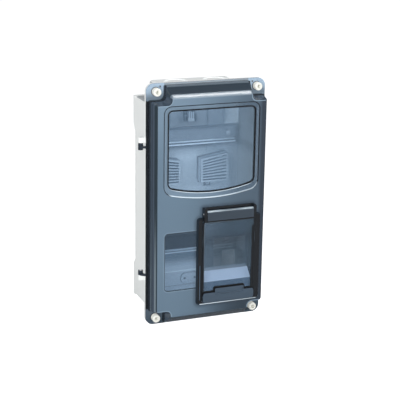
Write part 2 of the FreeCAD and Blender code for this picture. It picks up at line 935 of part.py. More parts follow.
def add_collar(body):
    """A raised wall round the flap, with a cheek at each end of its hinge."""
    gap = cell("door_gap")
    foot = front_sketch(body, "collar_foot", panel_depth)
    outline(foot, collar_corners(0, 0))
    crest = front_sketch(body, "collar_crest", panel_depth + cell("collar_height"))
    outline(crest, collar_corners(cell("collar_slope"), cell("collar_slope_end")))
    loft(body, "Additive", [foot, crest])
    room = front_sketch(body, "door_room", panel_depth)
    outline(room, door_corners(gap, gap, gap, gap, cell("door_corner") + gap, cell("shoulder_corner"),
                               cell("cheek_gap"), door_axis_z + cell("hinge_round") + gap))
    pocket(body, room, cell("collar_height"))
    cheeks = front_sketch(body, "cheeks", panel_depth)
    low = gap - cell("door_top")
    high = cell("cheek_top")
    left = -(cell("hinge_left") + cell("cheek_gap"))
    right = cell("hinge_right") + cell("cheek_gap")
    corner = cell("cheek_corner")
    rectangle(cheeks, left - cell("cheek_width"), left, low, high, corner)
    rectangle(cheeks, right, right + cell("cheek_width"), low, high, corner)
    pad(body, cheeks, cell("cheek_height"))
    for name, start in (("left", left), ("right", right + cell("cheek_width"))):
        hole = side_sketch(body, name + "_cheek_hole", start)
        circle(hole, -door_axis_depth, door_axis_z, cell("door_pin") / 2)
        pocket(body, hole, cell("cheek_width"), along=False)


def window_shape(sketch, inset, low_inset):
    """The upper window: straight sides and top, and a bottom edge that bows down."""
    drawing = Drawing(sketch)
    side = cell("window_left") - inset
    top = cell("window_top") - inset
    low = cell("window_side_end") + low_inset
    sag = cell("window_side_end") - cell("window_middle_end")
    radius = (side * side + sag * sag) / (sag * 2)
    half = math.asin(side.value / radius.value)
    centre = vector(0, low - sag + radius)
    left = drawing.add(Part.LineSegment(vector(-side, top), vector(-side, low)))
    right = drawing.add(Part.LineSegment(vector(side, low), vector(side, top)))
    upper = drawing.add(Part.LineSegment(vector(side, top), vector(-side, top)))
    bow = drawing.add(round_arc(centre, radius.value, -math.pi / 2 - half, -math.pi / 2 + half))
    drawing.join(left, 2, bow, 1)
    drawing.join(bow, 2, right, 1)
    drawing.join(right, 2, upper, 1)
    drawing.join(upper, 2, left, 1)
    drawing.fix_point(left, 1, -side, top)
    drawing.fix_point(left, 2, -side, low)
    drawing.fix_point(right, 1, side, low)
    drawing.fix_point(right, 2, side, top)
    drawing.sized_rule("Radius", bow, radius)
    drawing.hand_over()
    return [(-side, top), (side, top), (-side, low), (side, low)]


def add_window(body):
    """Two steps down to a thin pane, which a pad behind it brings back to a full wall."""
    steps = cell("window_first_step") + cell("window_second_step")
    pane_back = panel_depth - steps - cell("pane_wall")
    backing = front_sketch(body, "pane_backing", pane_back)
    frame = cell("window_frame")
    frame_low = cell("window_frame_low")
    window_shape(backing, frame - cell("pane_wall"), frame_low - cell("pane_wall"))
    pad(body, backing, panel_depth - cell("panel_wall") / 2 - pane_back)
    for name, inset, low_inset, depth, corner in (
            ("window_step_one", 0, 0, cell("window_first_step"), cell("window_corner")),
            ("window_step_two", frame, frame_low, steps, cell("pane_corner"))):
        sketch = front_sketch(body, name, panel_depth - depth)
        places = window_shape(sketch, inset, low_inset)
        cut = pocket(body, sketch, depth)
        round_edges(body, cut, upright_edges(cut, places), corner)


def add_side_window(body):
    window = front_sketch(body, "side_window", panel_depth - cell("side_window_step"))
    left = -cell("side_window_left")
    right = -(cell("door_left") + cell("collar_left"))
    low = -cell("side_window_bottom")
    high = -cell("side_window_top")
    corner = cell("side_window_corner")
    outline(window, [(left, low, corner), (right, low, corner), (right, high), (left, high, corner)])
    pocket(body, window, cell("side_window_step"))


def add_cover_holes(body):
    """Four screw holes and, beside each upper one, a small hole for a seal wire."""
    holes = front_sketch(body, "flange_holes", flange_back)
    draw_screw_circles(holes, cell("screw_shank") / 2 + cell("pivot_play"))
    for x_sign in (1, -1):
        circle(holes, (screw_x - cell("seal_hole_out")) * x_sign, screw_z + cell("seal_hole_out"),
               cell("seal_hole") / 2)
    pocket(body, holes, cell("flange_thickness"))


def add_clips(body):
    """Two open rings beyond the left edge that snap over the pivot pins, each on a narrow arm."""
    ring = cell("knuckle") / 2
    bore = cell("pivot_pin") / 2 + cell("pivot_play")
    root = -cover_side + cell("clip_arm_root")
    side = cell("clip_arm_side")
    near = -(pivot_depth + cell("clip_arm_near"))
    far = -(pivot_depth + cell("clip_arm_far"))
    arm_high = cell("clip_arm_high")
    upper_middle = (upper_clip[0] + upper_clip[1]) / 2
    for name, (low, high), arm_low in (("upper", upper_clip, upper_middle - arm_high / 2),
                                       ("lower", lower_clip, lower_clip[0])):
        arm = plan_sketch(body, name + "_clip_arm", arm_low)
        outline(arm, [(pivot_x - side, near), (pivot_x - side, far),
                      (-cover_side - cell("clip_arm_root"), -flange_front),
                      (root, -flange_front), (root, -flange_back),
                      (-cover_side - cell("clip_arm_inner"), -flange_back),
                      (pivot_x + side, near)])
        pad(body, arm, arm_high)
        eye = plan_sketch(body, name + "_clip_ring", low)
        circle(eye, pivot_x, -pivot_depth, ring)
        pad(body, eye, high - low)
        cut = plan_sketch(body, name + "_clip_bore", low)
        circle(cut, pivot_x, -pivot_depth, bore)
        pocket(body, cut, high - low)
        mouth = plan_sketch(body, name + "_clip_mouth", low)
        half = cell("clip_mouth") / 2
        rectangle(mouth, pivot_x - half, pivot_x + half, -pivot_depth, -pivot_depth + cell("clip_mouth_deep"))
        pocket(body, mouth, high - low)


# Flap over the breaker pocket

def build_door():
    body = new_body("breaker_door")
    left = -cell("door_left")
    right = cell("door_right")
    low = -cell("door_bottom")
    high = -cell("door_top")
    corner = cell("door_corner")
    rim = cell("door_rim_wall")
    plate = front_sketch(body, "plate", plate_back)
    rectangle(plate, left, right, low, high, corner)
    pad(body, plate, cell("door_plate"))
    edge = front_sketch(body, "plate_rim", door_back)
    rectangle(edge, left, right, low, high, corner)
    rectangle(edge, left + rim, right - rim, low + rim, high - rim, corner - rim)
    pad(body, edge, cell("door_rim_height"))
    block = side_sketch(body, "hinge_block", -cell("hinge_left"))
    round_reach = cell("hinge_round")
    outline(block, [(-plate_back, -cell("hinge_low")),
                    (-(door_axis_depth + round_reach), -cell("hinge_low")),
                    (-(door_axis_depth + round_reach), door_axis_z),
                    (-(door_axis_depth - round_reach), door_axis_z)])
    pad(body, block, cell("hinge_left") + cell("hinge_right"))
    web = front_sketch(body, "hinge_web", plate_back)
    rectangle(web, -cell("hinge_left"), cell("hinge_right"), high - corner, door_axis_z)
    pad(body, web, cell("door_plate"))
    barrel = side_sketch(body, "hinge_barrel", -cell("hinge_left"))
    circle(barrel, -door_axis_depth, door_axis_z, round_reach)
    pad(body, barrel, cell("hinge_left") + cell("hinge_right"))
    bore = cell("door_pin") / 2 + cell("door_pin_play")
    bore_length = cell("door_pin_length") - cell("cheek_width") + cell("door_bore_spare")
    for name, start, along in (("left", -cell("hinge_left"), True), ("right", cell("hinge_right"), False)):
        hole = side_sketch(body, name + "_bore", start)
        circle(hole, -door_axis_depth, door_axis_z, bore)
        pocket(body, hole, bore_length, along=along)
    add_door_front(body, left, right, low, high)
    return body


def add_door_front(body, left, right, low, high):
    """The polished window, and the finger strip with its tab and ribs below it."""
    border = cell("door_border")
    window = front_sketch(body, "door_window", plate_front - cell("door_border_step"))
    strip_top = -cell("strip_top")
    rectangle(window, left + border, right - border, strip_top, -cell("hinge_low") - border,
              cell("door_window_corner"))
    pocket(body, window, cell("door_border_step"))
    strip = front_sketch(body, "finger_strip", plate_front - cell("door_border_step"))
    inset = cell("strip_inset")
    corner = cell("strip_corner")
    grip_left = cell("grip_left")
    grip_right = cell("grip_right")
    grip_top = -cell("grip_top")
    outline(strip, [(left + inset, low + inset, corner), (right - inset, low + inset, corner),
                    (right - inset, strip_top), (grip_right, strip_top),
                    (grip_right, grip_top, cell("grip_corner")), (grip_left, grip_top, cell("grip_corner")),
                    (grip_left, strip_top), (left + inset, strip_top)])
    pad(body, strip, cell("strip_height") + cell("door_border_step"))
    strip_front = plate_front + cell("strip_height")
    scoop = front_sketch(body, "finger_scoop", strip_front - cell("scoop_depth"))
    wall = cell("scoop_wall")
    rectangle(scoop, grip_left + wall, grip_right - wall, grip_top - wall - cell("scoop_long"),
              grip_top - wall, cell("scoop_corner"))
    pocket(body, scoop, cell("scoop_depth"))
    rib = front_sketch(body, "grip_rib", strip_front)
    first = grip_top - cell("rib_down")
    rectangle(rib, grip_left, grip_right, first - cell("rib_wide"), first)
    ribs = pad(body, rib, cell("rib_height"))
    row_of(body, [ribs], "XY_Plane", cell("rib_pitch"), int(SIZES["rib_count"]))


def build_door_seal():
    body = new_body("breaker_door_seal")
    rim = cell("door_rim_wall")
    seal_back = panel_depth + cell("door_seal_gap")
    sketch = front_sketch(body, "ring", seal_back)
    for inset in (rim, rim + cell("door_seal_width")):
        rectangle(sketch, inset - cell("door_left"), cell("door_right") - inset,
                  inset - cell("door_bottom"), -cell("door_top") - inset, cell("door_corner") - inset)
    pad(body, sketch, plate_back - seal_back)


# Gasket, screws and pins

def build_gasket():
    body = new_body("cover_gasket")
    ring = front_sketch(body, "ring", rim_depth)
    base_outline(ring, cell("gasket_inset"))
    base_outline(ring, cell("gasket_inset") + cell("gasket_width"))
    pad(body, ring, cell("gasket_height"))


def build_cover_screw(name, x_sign, z_sign):
    """A captive plastic screw, drawn round its own axis with its head seat at the origin."""
    body = new_body(name)
    head = cell("screw_head") / 2
    height = cell("screw_head_height")
    shank = cell("screw_shank") / 2
    reach = cell("washer_thickness") + cell("screw_tip") + cell("flange_thickness")
    profile = plan_sketch(body, "profile", 0)
    edge = cell("screw_head_edge")
    outline(profile, [(0, reach), (shank, reach), (shank, 0), (head, 0),
                      (head, edge - height), (head - edge, -height), (0, -height)])
    turn(body, profile)
    recess_floor = height - cell("screw_recess_depth")
    recess = front_sketch(body, "recess", recess_floor)
    circle(recess, 0, 0, cell("screw_recess") / 2)
    pocket(body, recess, cell("screw_recess_depth"))
    slot = front_sketch(body, "slot", recess_floor - cell("screw_slot_depth"))
    half = cell("screw_slot") / 2
    slot_end = cell("screw_recess") / 2 - half
    rectangle(slot, -half, half, -slot_end, slot_end)
    pocket(body, slot, cell("screw_slot_depth"))
    place(body, screw_x * x_sign, flange_front + cell("washer_thickness"), screw_z * z_sign)


def build_screw_seals():
    """Four separate washers, which one body holds as a group of solids."""
    body = new_body("cover_screw_seals")
    body.AllowCompound = True
    sketch = front_sketch(body, "rings", flange_front)
    for x_sign in (1, -1):
        for z_sign in (1, -1):
            circle(sketch, screw_x * x_sign, screw_z * z_sign, cell("washer_width") / 2)
            circle(sketch, screw_x * x_sign, screw_z * z_sign, cell("screw_shank") / 2 + cell("washer_play"))
    pad(body, sketch, cell("washer_thickness"))


def build_pivot_pin(name, low, high):
    body = new_body(name)
    sketch = plan_sketch(body, "section", low)
    circle(sketch, pivot_x, -pivot_depth, cell("pivot_pin") / 2)
    pad(body, sketch, high - low)


def build_door_pin(name, start):
    body = new_body(name)
    sketch = side_sketch(body, "section", start)
    circle(sketch, -door_axis_depth, door_axis_z, cell("door_pin") / 2)
    pad(body, sketch, cell("door_pin_length"))


# Rails, supports and hook

def build_rail(name, level):
    """A top-hat rail: its web is screwed to the posts and its brims stand forward."""
    body = new_body(name)
    half_length = cell("rail_length") / 2
    sheet_wall = cell("rail_sheet")
    brim = cell("rail_width") / 2
    inner = cell("rail_inner") / 2
    back = -rail_back()
    front = -cell("rail_front")
    profile = side_sketch(body, "profile", -half_length)
    outline(profile, [
        (front, level - brim), (front + sheet_wall, level - brim),
        (front + sheet_wall, level - inner), (back, level - inner),
        (back, level + inner), (front + sheet_wall, level + inner),
        (front + sheet_wall, level + brim), (front, level + brim),
        (front, level + inner - sheet_wall), (back - sheet_wall, level + inner - sheet_wall),
        (back - sheet_wall, level - inner + sheet_wall), (front, level - inner + sheet_wall)])
    pad(body, profile, half_length * 2)
    holes = front_sketch(body, "screw_holes", rail_back())
    for sign in (1, -1):
        circle(holes, cell("rail_screw_out") * sign, level, cell("small_shank") / 2 + cell("small_play"))
    pocket(body, holes, sheet_wall)


def build_small_screws(name, places, seat):
    """Pan-head screws whose heads lie on the seat, one in each place."""
    body = new_body(name)
    body.AllowCompound = True
    tip = cell("small_pilot") - cell("small_spare")
    shanks = front_sketch(body, "shanks", seat - tip)
    heads = front_sketch(body, "heads", seat)
    for x, z in places:
        circle(shanks, x, z, cell("small_shank") / 2)
        circle(heads, x, z, cell("small_head") / 2)
    pad(body, shanks, tip)
    pad(body, heads, cell("small_head_height"))
    slot = front_sketch(body, "drive", seat + cell("small_head_height") - cell("drive_deep"))
    wide = cell("drive_wide") / 2
    long = cell("drive_long") / 2
    for x, z in places:
        rectangle(slot, x - wide, x + wide, z - long, z + long)
    pocket(body, slot, cell("drive_deep"))


def support_x(out, sign):
    """A place on one of the two supports, whose middle line lies left of the box's."""
    return out * sign - cell("support_shift")


def support_corners(sign, inset):
    """The corners of a support's face: its top edge rises outwards."""
    inner = support_x(cell("support_inner") + inset, sign)
    outer = support_x(cell("support_outer") - inset, sign)
    low = cell("support_low") + inset
    return [(inner, low), (outer, low), (outer, cell("support_outer_top") - inset),
            (inner, cell("support_inner_top") - inset)]


def build_support(name, sign):
    """A slotted stand for one side of the meter, hollow behind, with a screw tab below."""
    body = new_body(name)
    wall = cell("support_wall")
    tray = front_sketch(body, "tray", floor_depth)
    outline(tray, support_corners(sign, 0))
    pad(body, tray, cell("support_front") - floor_depth)
    hollow = front_sketch(body, "hollow", floor_depth)
    outline(hollow, support_corners(sign, wall))
    pocket(body, hollow, cell("support_front") - wall - floor_depth)
    tab = front_sketch(body, "tab", floor_depth)
    half = cell("support_tab") / 2
    centre = support_x(cell("support_screw_out"), sign)
    tab_low = cell("support_low") - cell("support_tab")
    rectangle(tab, centre - half, centre + half, tab_low, cell("support_low"))
    pad(body, tab, wall)
    screw_hole = front_sketch(body, "tab_hole", floor_depth)
    circle(screw_hole, centre, cell("support_low") - half, cell("small_shank") / 2 + cell("small_play"))
    pocket(body, screw_hole, wall)
    cut_fan_slots(body, sign)


def cut_fan_slots(body, sign):
    """Slots that spread outwards, level at the bottom and along the slanted edge at the top."""
    margin = cell("support_margin")
    inner = support_x(cell("support_inner") + margin, sign)
    outer = support_x(cell("support_outer") - margin, sign)
    count = int(SIZES["support_slots"])
    low = cell("support_low") + margin
    inner_run = cell("support_inner_top") - margin - cell("support_slot_wide") - low
    outer_run = cell("support_outer_top") - margin - cell("support_slot_wide") - low
    slots = front_sketch(body, "slots", cell("support_front") - cell("support_wall"))
    wide = cell("support_slot_wide")
    for number in range(count):
        share = number / (count - 1)
        inner_low = low + inner_run * share
        outer_low = low + outer_run * share
        outline(slots, [(inner, inner_low), (outer, outer_low), (outer, outer_low + wide),
                        (inner, inner_low + wide)])
    pocket(body, slots, cell("support_wall"))


def build_hook():
    """A comb-shaped hanger at the top middle that the meter hooks onto."""
    body = new_body("meter_hook")
    half = cell("hook_width") / 2
    low = cell("hook_up") - cell("hook_height") / 2
    high = cell("hook_up") + cell("hook_height") / 2
    front = cell("hook_front")
    plate = front_sketch(body, "plate", floor_depth)
    rectangle(plate, -half, half, low, high)
    pad(body, plate, cell("hook_plate"))
    block = front_sketch(body, "block", floor_depth)
    rectangle(block, -half, half, low, low + cell("hook_block_high"))
    pad(body, block, front - floor_depth - cell("hook_plate"))
    tongue = front_sketch(body, "tongue", front - cell("hook_plate"))
    rectangle(tongue, -cell("hook_tongue_wide") / 2, cell("hook_tongue_wide") / 2, low,
              low + cell("hook_tongue_high"))
    pad(body, tongue, cell("hook_plate"))
    comb = front_sketch(body, "comb", floor_depth + cell("hook_plate"))
    slot = cell("hook_slot")
    for place_number in (-2, -1, 1, 2):
        centre = cell("hook_slot_pitch") * place_number
        rectangle(comb, centre - slot / 2, centre + slot / 2, low, low + cell("hook_slot_long"))
    pocket(body, comb, front - floor_depth - cell("hook_plate") * 2)
    hole = front_sketch(body, "hook_hole", floor_depth)
    screw_z = high - cell("hook_screw_down")
    circle(hole, 0, screw_z, cell("small_shank") / 2 + cell("small_play"))
    pocket(body, hole, cell("hook_plate"))
    return screw_z


def floor_screw_pilots(places):
    """Bosses behind the floor of the box, with blind holes for the screws that stand on it."""
    body = doc.getObject("base_housing")
    wall = cell("base_wall")
    bosses = front_sketch(body, "pilot_bosses", floor_depth - cell("small_pilot"))
    for x, z in places:
        circle(bosses, x, z, cell("small_head") / 2)
    pad(body, bosses, cell("small_pilot") - wall / 2)
    depth = cell("small_pilot") - cell("small_spare")
    pilots = front_sketch(body, "pilot_holes", floor_depth - depth)
    for x, z in places:
        circle(pilots, x, z, cell("small_shank") / 2)
    pocket(body, pilots, depth)


build_base()
build_cover()
build_gasket()
for vertical, z_sign in (("top", 1), ("bottom", -1)):
    for horizontal, x_sign in (("left", -1), ("right", 1)):
        build_cover_screw("cover_screw_%s_%s" % (vertical, horizontal), x_sign, z_sign)
build_screw_seals()
build_pivot_pin("cover_hinge_pin_upper", upper_clip[0] - cell("pivot_pin_spare"), upper_knuckle[1])
build_pivot_pin("cover_hinge_pin_lower", lower_knuckle[0], lower_clip[1] + cell("pivot_pin_spare"))
build_door()
build_door_seal()
cheek_out = cell("cheek_gap") + cell("cheek_width")
build_door_pin("door_hinge_pin_left", -(cell("hinge_left") + cheek_out))
build_door_pin("door_hinge_pin_right", cell("hinge_right") + cheek_out - cell("door_pin_length"))
for rail, rail_level in rail_levels().items():
    build_rail(rail + "_din_rail", rail_level)
    seats = [(cell("rail_screw_out") * side, rail_level) for side in (1, -1)]
    build_small_screws(rail + "_rail_screws", seats, rail_back() + cell("rail_sheet"))
build_support("meter_support_left", -1)
build_support("meter_support_right", 1)
hook_screw_z = build_hook()
support_screw_z = cell("support_low") - cell("support_tab") / 2
support_places = [(support_x(cell("support_screw_out"), side), support_screw_z) for side in (1, -1)]
floor_screw_pilots(support_places + [(size_of(0), hook_screw_z)])
build_small_screws("meter_support_screws", support_places, floor_depth + cell("support_wall"))
build_small_screws("meter_hook_screw", [(size_of(0), hook_screw_z)], floor_depth + cell("hook_plate"))

doc.recompute()
for thing in doc.Objects:
    if "Invalid" in thing.State or "Error" in thing.State:
        raise RuntimeError("%s has failed: %s" % (thing.Name, thing.State))

pieces = [thing for thing in doc.Objects if thing.TypeId == "PartDesign::Body"]
for piece in pieces:
    if piece.Shape.isNull() or not piece.Shape.isValid():
        raise RuntimeError(piece.Label + " has no sound shape")
os.makedirs("parts", exist_ok=True)
for piece in pieces:
    piece.Shape.exportStep("parts/%s.step" % piece.Label)
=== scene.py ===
"""Looks of the electric meter box: finishes, small turned and moulded detail, light and camera.

Metres. X runs to the right, -Y to the front and Z up. A depth is a distance from the wall to the front.
"""
import json
import math

import bmesh
import bpy
from mathutils import Matrix, Vector


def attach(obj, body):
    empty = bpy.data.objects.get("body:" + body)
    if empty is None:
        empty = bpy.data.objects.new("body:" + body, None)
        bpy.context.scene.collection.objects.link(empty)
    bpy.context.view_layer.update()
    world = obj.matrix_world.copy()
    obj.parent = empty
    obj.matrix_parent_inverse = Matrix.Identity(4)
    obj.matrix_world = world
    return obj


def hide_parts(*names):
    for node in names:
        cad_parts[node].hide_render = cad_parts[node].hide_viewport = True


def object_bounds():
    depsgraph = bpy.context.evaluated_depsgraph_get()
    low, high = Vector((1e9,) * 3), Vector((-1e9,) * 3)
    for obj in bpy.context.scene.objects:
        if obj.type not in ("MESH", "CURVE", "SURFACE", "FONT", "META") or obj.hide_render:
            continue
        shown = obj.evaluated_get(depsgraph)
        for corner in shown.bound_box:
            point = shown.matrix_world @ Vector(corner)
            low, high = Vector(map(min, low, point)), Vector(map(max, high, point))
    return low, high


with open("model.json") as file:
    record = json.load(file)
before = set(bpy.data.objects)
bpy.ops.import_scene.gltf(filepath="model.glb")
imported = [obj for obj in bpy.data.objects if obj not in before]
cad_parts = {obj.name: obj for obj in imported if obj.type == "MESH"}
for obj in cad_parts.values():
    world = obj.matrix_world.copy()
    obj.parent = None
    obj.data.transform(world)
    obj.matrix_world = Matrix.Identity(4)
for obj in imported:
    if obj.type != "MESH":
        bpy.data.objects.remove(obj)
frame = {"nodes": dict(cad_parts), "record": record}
cad_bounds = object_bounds()
slots = {part["node"]: part["material_slot"] for part in frame["record"]["subparts"]}
body_of = {node: body for body, nodes in frame["record"]["behaviour"]["bodies"].items() for node in nodes}
MM = 0.001
LINE_SOFT = 0.25 * MM


def under(axis, edge):
    """A mask for the side below an edge: an axis, and the places where a fade starts and ends on it."""
    return (axis, edge + LINE_SOFT, edge - LINE_SOFT)


def over(axis, edge):
    """A mask for the side above an edge."""
    return (axis, edge - LINE_SOFT, edge + LINE_SOFT)


# Outlines on the cover, the flap and the box: left, right, low, high and corner radius
PANEL = (-0.10275, 0.10275, -0.2030, 0.2030, 0.0035)
SIDE_WINDOW = (-0.0892, -0.0200, -0.1526, -0.0420, 0.0075)
POCKET = (-0.0156, 0.0810, -0.1430, -0.0300, 0.0005)
FLAP_ROOM = (-0.0184, 0.0857, -0.1818, -0.0244, 0.006)
HINGE_ROOM = (-0.0170, 0.0833, -0.0250, 0.0008, 0.0025)
COLLAR_OUTLINE = (-0.0283, 0.0975, -0.1856, -0.0175, 0.008)
CHEEKS = (-0.0176, 0.0839, -0.0300, 0.0012, 0.003)
# A thin line of painted sheen on the collar's left crest
CREST_LINE = (-0.0225, -0.0215, -0.1750, -0.1080, 0.0004)
FLAP_WINDOW = (-0.0152, 0.0825, -0.1610, -0.0266, 0.003)
FINGER_STRIP = (-0.0166, 0.0839, -0.1800, -0.1610, 0.004)
FINGER_TAB = (0.0068, 0.0644, -0.1640, -0.1535, 0.002)
TERMINAL_PAD = (-0.0130, 0.0230, -0.1860, -0.1650, 0.0102)
# Patches of painted shadow on the floor behind the supports, seen through their slots
SUPPORT_PAINTED_SHADOWS = ((-0.0750, -0.0255, 0.0140, 0.0590, 0.001), (0.0197, 0.0700, 0.0140, 0.0590, 0.001))

# The panel's corner notches: where they start across and up, and the radius of their corner
NOTCH_SIDE = 0.0760
NOTCH_END = 0.1908
NOTCH_ROUND = 0.0085

# Windows whose foot bows down: half width, top, lowest point, sag and corner radius
WINDOW_OUTER = (0.0902, 0.1882, 0.0189, 0.0123, 0.013)
WINDOW_INNER = (0.0826, 0.1806, 0.0296, 0.0123, 0.008)

# Lines along an outline, as distances that are less than 0 inside it
RING_REACH = 0.0008
OUTER_LINE = (-0.0003, 0.0013)
# Bands of painted highlight beside the window lines
OUTER_HIGHLIGHT = (-0.0008, 0.0009)
INNER_LINE = (-0.0014, 0.0015)
INNER_HIGHLIGHT = (0.0013, 0.0023)
SIDE_LINE = (-0.0012, 0.0003)
SIDE_LIGHT_BAND = (0.0003, 0.0011)
POCKET_REACH = 0.0008
COLLAR_ROUND = (0.0075, 0.0)
PANEL_RIM = -0.0002
NOTCH_LIT = (-0.0016, -0.0003)
NOTCH_WALL = (-0.0006, 0.0)
FLAP_HIGHLIGHT_LINE = (-0.0013, -0.0003)
FLAP_LINE = (-0.0002, 0.0014)
STRIP_LINE = (-0.0004, 0.0026)
PAD_SHADE_RING = (-0.0004, 0.0013)

# Grain of the surfaces: scale, detail and stretch of the noise
FLOW_MARKS = (9.0, 4.0, (1.0, 1.0, 0.35))
GLOSS_PATCHES = (160.0, 3.0)
PORES = (2200.0, 2.0)
WAVES = (35.0, 2.0)
SPANGLE = (60.0, 5.0)
ROLLING = (900.0, 2.0)
RUBBER_CLOUDS = (120.0, 4.0)
RUBBER_PORES = (1500.0, 3.0)
PANEL_CLOUDS = (7.0, 3.0)
BORDER_CLOUDS = (9.0, 3.0)
COVER_GRAIN = (1700.0, 2.0)
FLAP_GRAIN = (1200.0, 2.0)
ALONG_RAIL = (0.02, 1.0, 1.0)

# Depth of that grain, and the strength of the less deep kinds
PORE_DEPTH = 0.04 * MM
SCREW_PORE_DEPTH = 0.02 * MM
WAVES_TO_PORES = 6
WAVE_STRENGTH = 0.25
ROLLING_DEPTH = 0.02 * MM
ROLLING_STRENGTH = 0.6
RUBBER_PORE_DEPTH = 0.03 * MM
COVER_GRAIN_DEPTH = 0.04 * MM
FLAP_GRAIN_DEPTH = 0.03 * MM
SMOKED_STRENGTH = 0.5

# Roughness at the glossiest and the dullest spots of each surface, share of metal, and gloss of the plastics
SCREW_GLOSS = (0.29, 0.40)
HOUSING_GLOSS = (0.37, 0.48)
INNER_GLOSS = (0.40, 0.51)
STEEL_GLOSS = (0.18, 0.35)
RAIL_GLOSS = (0.28, 0.42)
RUBBER_GLOSS = (0.6, 0.8)
STEEL_METAL = 0.35
RAIL_METAL = 0.3
PLASTIC_IOR = 1.5
SMOKED_SPECULAR = 0.42
# The share of a see-through plastic's haze that still stops the lamps
LAMP_SHARE = 0.1

# The box's plastic, its knock-out rings, and the painted shade and painted light inside the box
HOUSING_TONE = (0.87, 0.885, 0.875)
HOUSING_SHADE = (0.83, 0.845, 0.83)
# The inside of the box is painted darker than the outside, as painted shade
INSIDE_PAINTED_SHADE = (0.49, 0.515, 0.53)
# Dark tone for painted shade inside the box, also used for the floor's dark seam
INSIDE_SHADE_AND_SEAM = (0.20, 0.215, 0.23)
# Painted light on the floor between the supports and on the lit edge of the floor's band
INSIDE_PAINTED_LIGHT = (0.66, 0.69, 0.70)
END_WALL = ("tall", 0.2100, 0.2104)
KNOCKOUT_TONE = (0.97, 0.98, 0.975)
KNOCKOUT_PLACES = ((-0.034, 0.036), (0.042, 0.036))
KNOCKOUT_RADII = (0.0150, 0.0228)
INSIDE = (under("wide", 0.1022), under("tall", 0.2118), over("depth", 0.0122))
PAINTED_LIT_FLOOR = (("z", -0.020, 0.040), ("z", 0.095, 0.060))
ON_FLOOR = ("depth", 0.0140, 0.0136)
PAD_SHADE_SHARE = 0.7
PAD_HOLES = ((-0.0053, -0.1755), (0.0153, -0.1755))
PAD_HOLE_RADIUS = 0.0022
PAD_HOLE_TONE = (0.10, 0.11, 0.12)
# Painted shadow under the rails and in the upper right corner
PAINTED_SHADOW_TONE = (0.075, 0.085, 0.095)
# Painted shade and painted light inside the box, in the order they are laid: tone, strength and masks.
# Painted shadow lies under the lower and the upper rail. Painted shade lies toward the two ends, toward the
# right side, in the upper right corner and at its post. A dark line runs along the floor's seam. Painted
# shade lies at the foot of the floor's band, and painted light on the lit edge above it.
INSIDE_SHADES = (
    (PAINTED_SHADOW_TONE, 0.92, ("z", -0.1560, -0.1300), under("z", -0.1190)),
    (PAINTED_SHADOW_TONE, 0.65, ("z", 0.0780, 0.0880), under("z", 0.0990)),
    (INSIDE_SHADE_AND_SEAM, 0.3, ("z", 0.080, 0.140)),
    (INSIDE_SHADE_AND_SEAM, 0.3, ("z", -0.135, -0.190)),
    (INSIDE_SHADE_AND_SEAM, 0.45, ("x", 0.0780, 0.0940)),
    (PAINTED_SHADOW_TONE, 0.6, ("x", 0.0900, 0.0985), ("depth", 0.0300, 0.0180), ("z", 0.0750, 0.0950),
     ("z", 0.1560, 0.1400)),
    (INSIDE_SHADE_AND_SEAM, 0.45, ("x", 0.0600, 0.0780), ("z", 0.1250, 0.1450)),
    (INSIDE_SHADE_AND_SEAM, 0.7, over("x", 0.0354), under("x", 0.0364), ("z", 0.0730, 0.0740)),
    (INSIDE_SHADE_AND_SEAM, 0.7, over("z", -0.1898), under("z", -0.1880)),
    (INSIDE_PAINTED_LIGHT, 1.0, over("z", -0.1612), under("z", -0.1590)),
)

# The meter hook and the supports: painted shade at their feet, in the hook's slot, in the supports' slots
# and between the teeth of the hook's comb
INNER_TONE = (0.51, 0.535, 0.55)
INNER_SHADE = (0.47, 0.495, 0.51)
INNER_PAINTED_SHADE = (0.18, 0.195, 0.21)
INNER_FEET = (("depth", 0.0270, 0.0150), 0.85)
HOOK_SLOT = (("z", 0.1200, 0.1210), under("depth", 0.0256))
SUPPORT_SLOTS = (under("z", 0.1000), under("depth", 0.0356), ("depth", 0.0330, 0.0340))
COMB = (over("z", 0.1412), under("z", 0.1560))
COMB_START = 0.0500
COMB_PITCH = 0.00396
COMB_GAP = 0.42

SCREW_TONE = (0.80, 0.80, 0.74)
FLOW_SHADES = (0.96, 1.04)
RUBBER_TONES = ((0.02, 0.021, 0.023), (0.045, 0.046, 0.05))
STEEL_TONE = (0.84, 0.85, 0.86)
SPANGLE_SHADE = 0.82

# The rails: the levels of their middles, tones with painted highlights and painted shade, and places given
# as heights from a rail's middle
RAIL_LEVELS = (-0.0946, 0.1130)
RAIL_TONE = (0.33, 0.35, 0.36)
RAIL_SHADE = (0.27, 0.285, 0.30)
# Painted highlights on the folds of the lower lip, dimmer on the lower rail, and painted shade on the lip and
# upper edge
RAIL_PAINTED_HIGHLIGHT = (0.94, 0.96, 0.96)
RAIL_PAINTED_GLINT = (0.52, 0.54, 0.55)
RAIL_PAINTED_SHADE = (0.15, 0.16, 0.17)
LIP_FACE = ("depth", 0.0434, 0.0438)
UNDER_LIP = under("depth", 0.0434)
LIP_SHADE = (-0.0148, -0.0120)
LIP_EDGE = (-0.0174, -0.0150)
WALL_FOOT = (-0.0131, -0.0122)
WEB_FOOT = (-0.0124, -0.0115)
UPPER_EDGE = (0.0127, 0.0180)

# Tones of the smoked plastics. Many of them are painted light, painted shade or painted highlights.
# The panel: painted light at the left, painted shade at the right that also tints its random clouds, a
# painted glow at the top left and painted shade at the lower right
PANEL_PAINTED_LIGHT = (0.125, 0.190, 0.255)
PANEL_SHADE_AND_CLOUDS = (0.062, 0.094, 0.130)
PANEL_PAINTED_GLOW = (0.190, 0.270, 0.350)
PANEL_PAINTED_LOW_SHADE = (0.012, 0.022, 0.034)
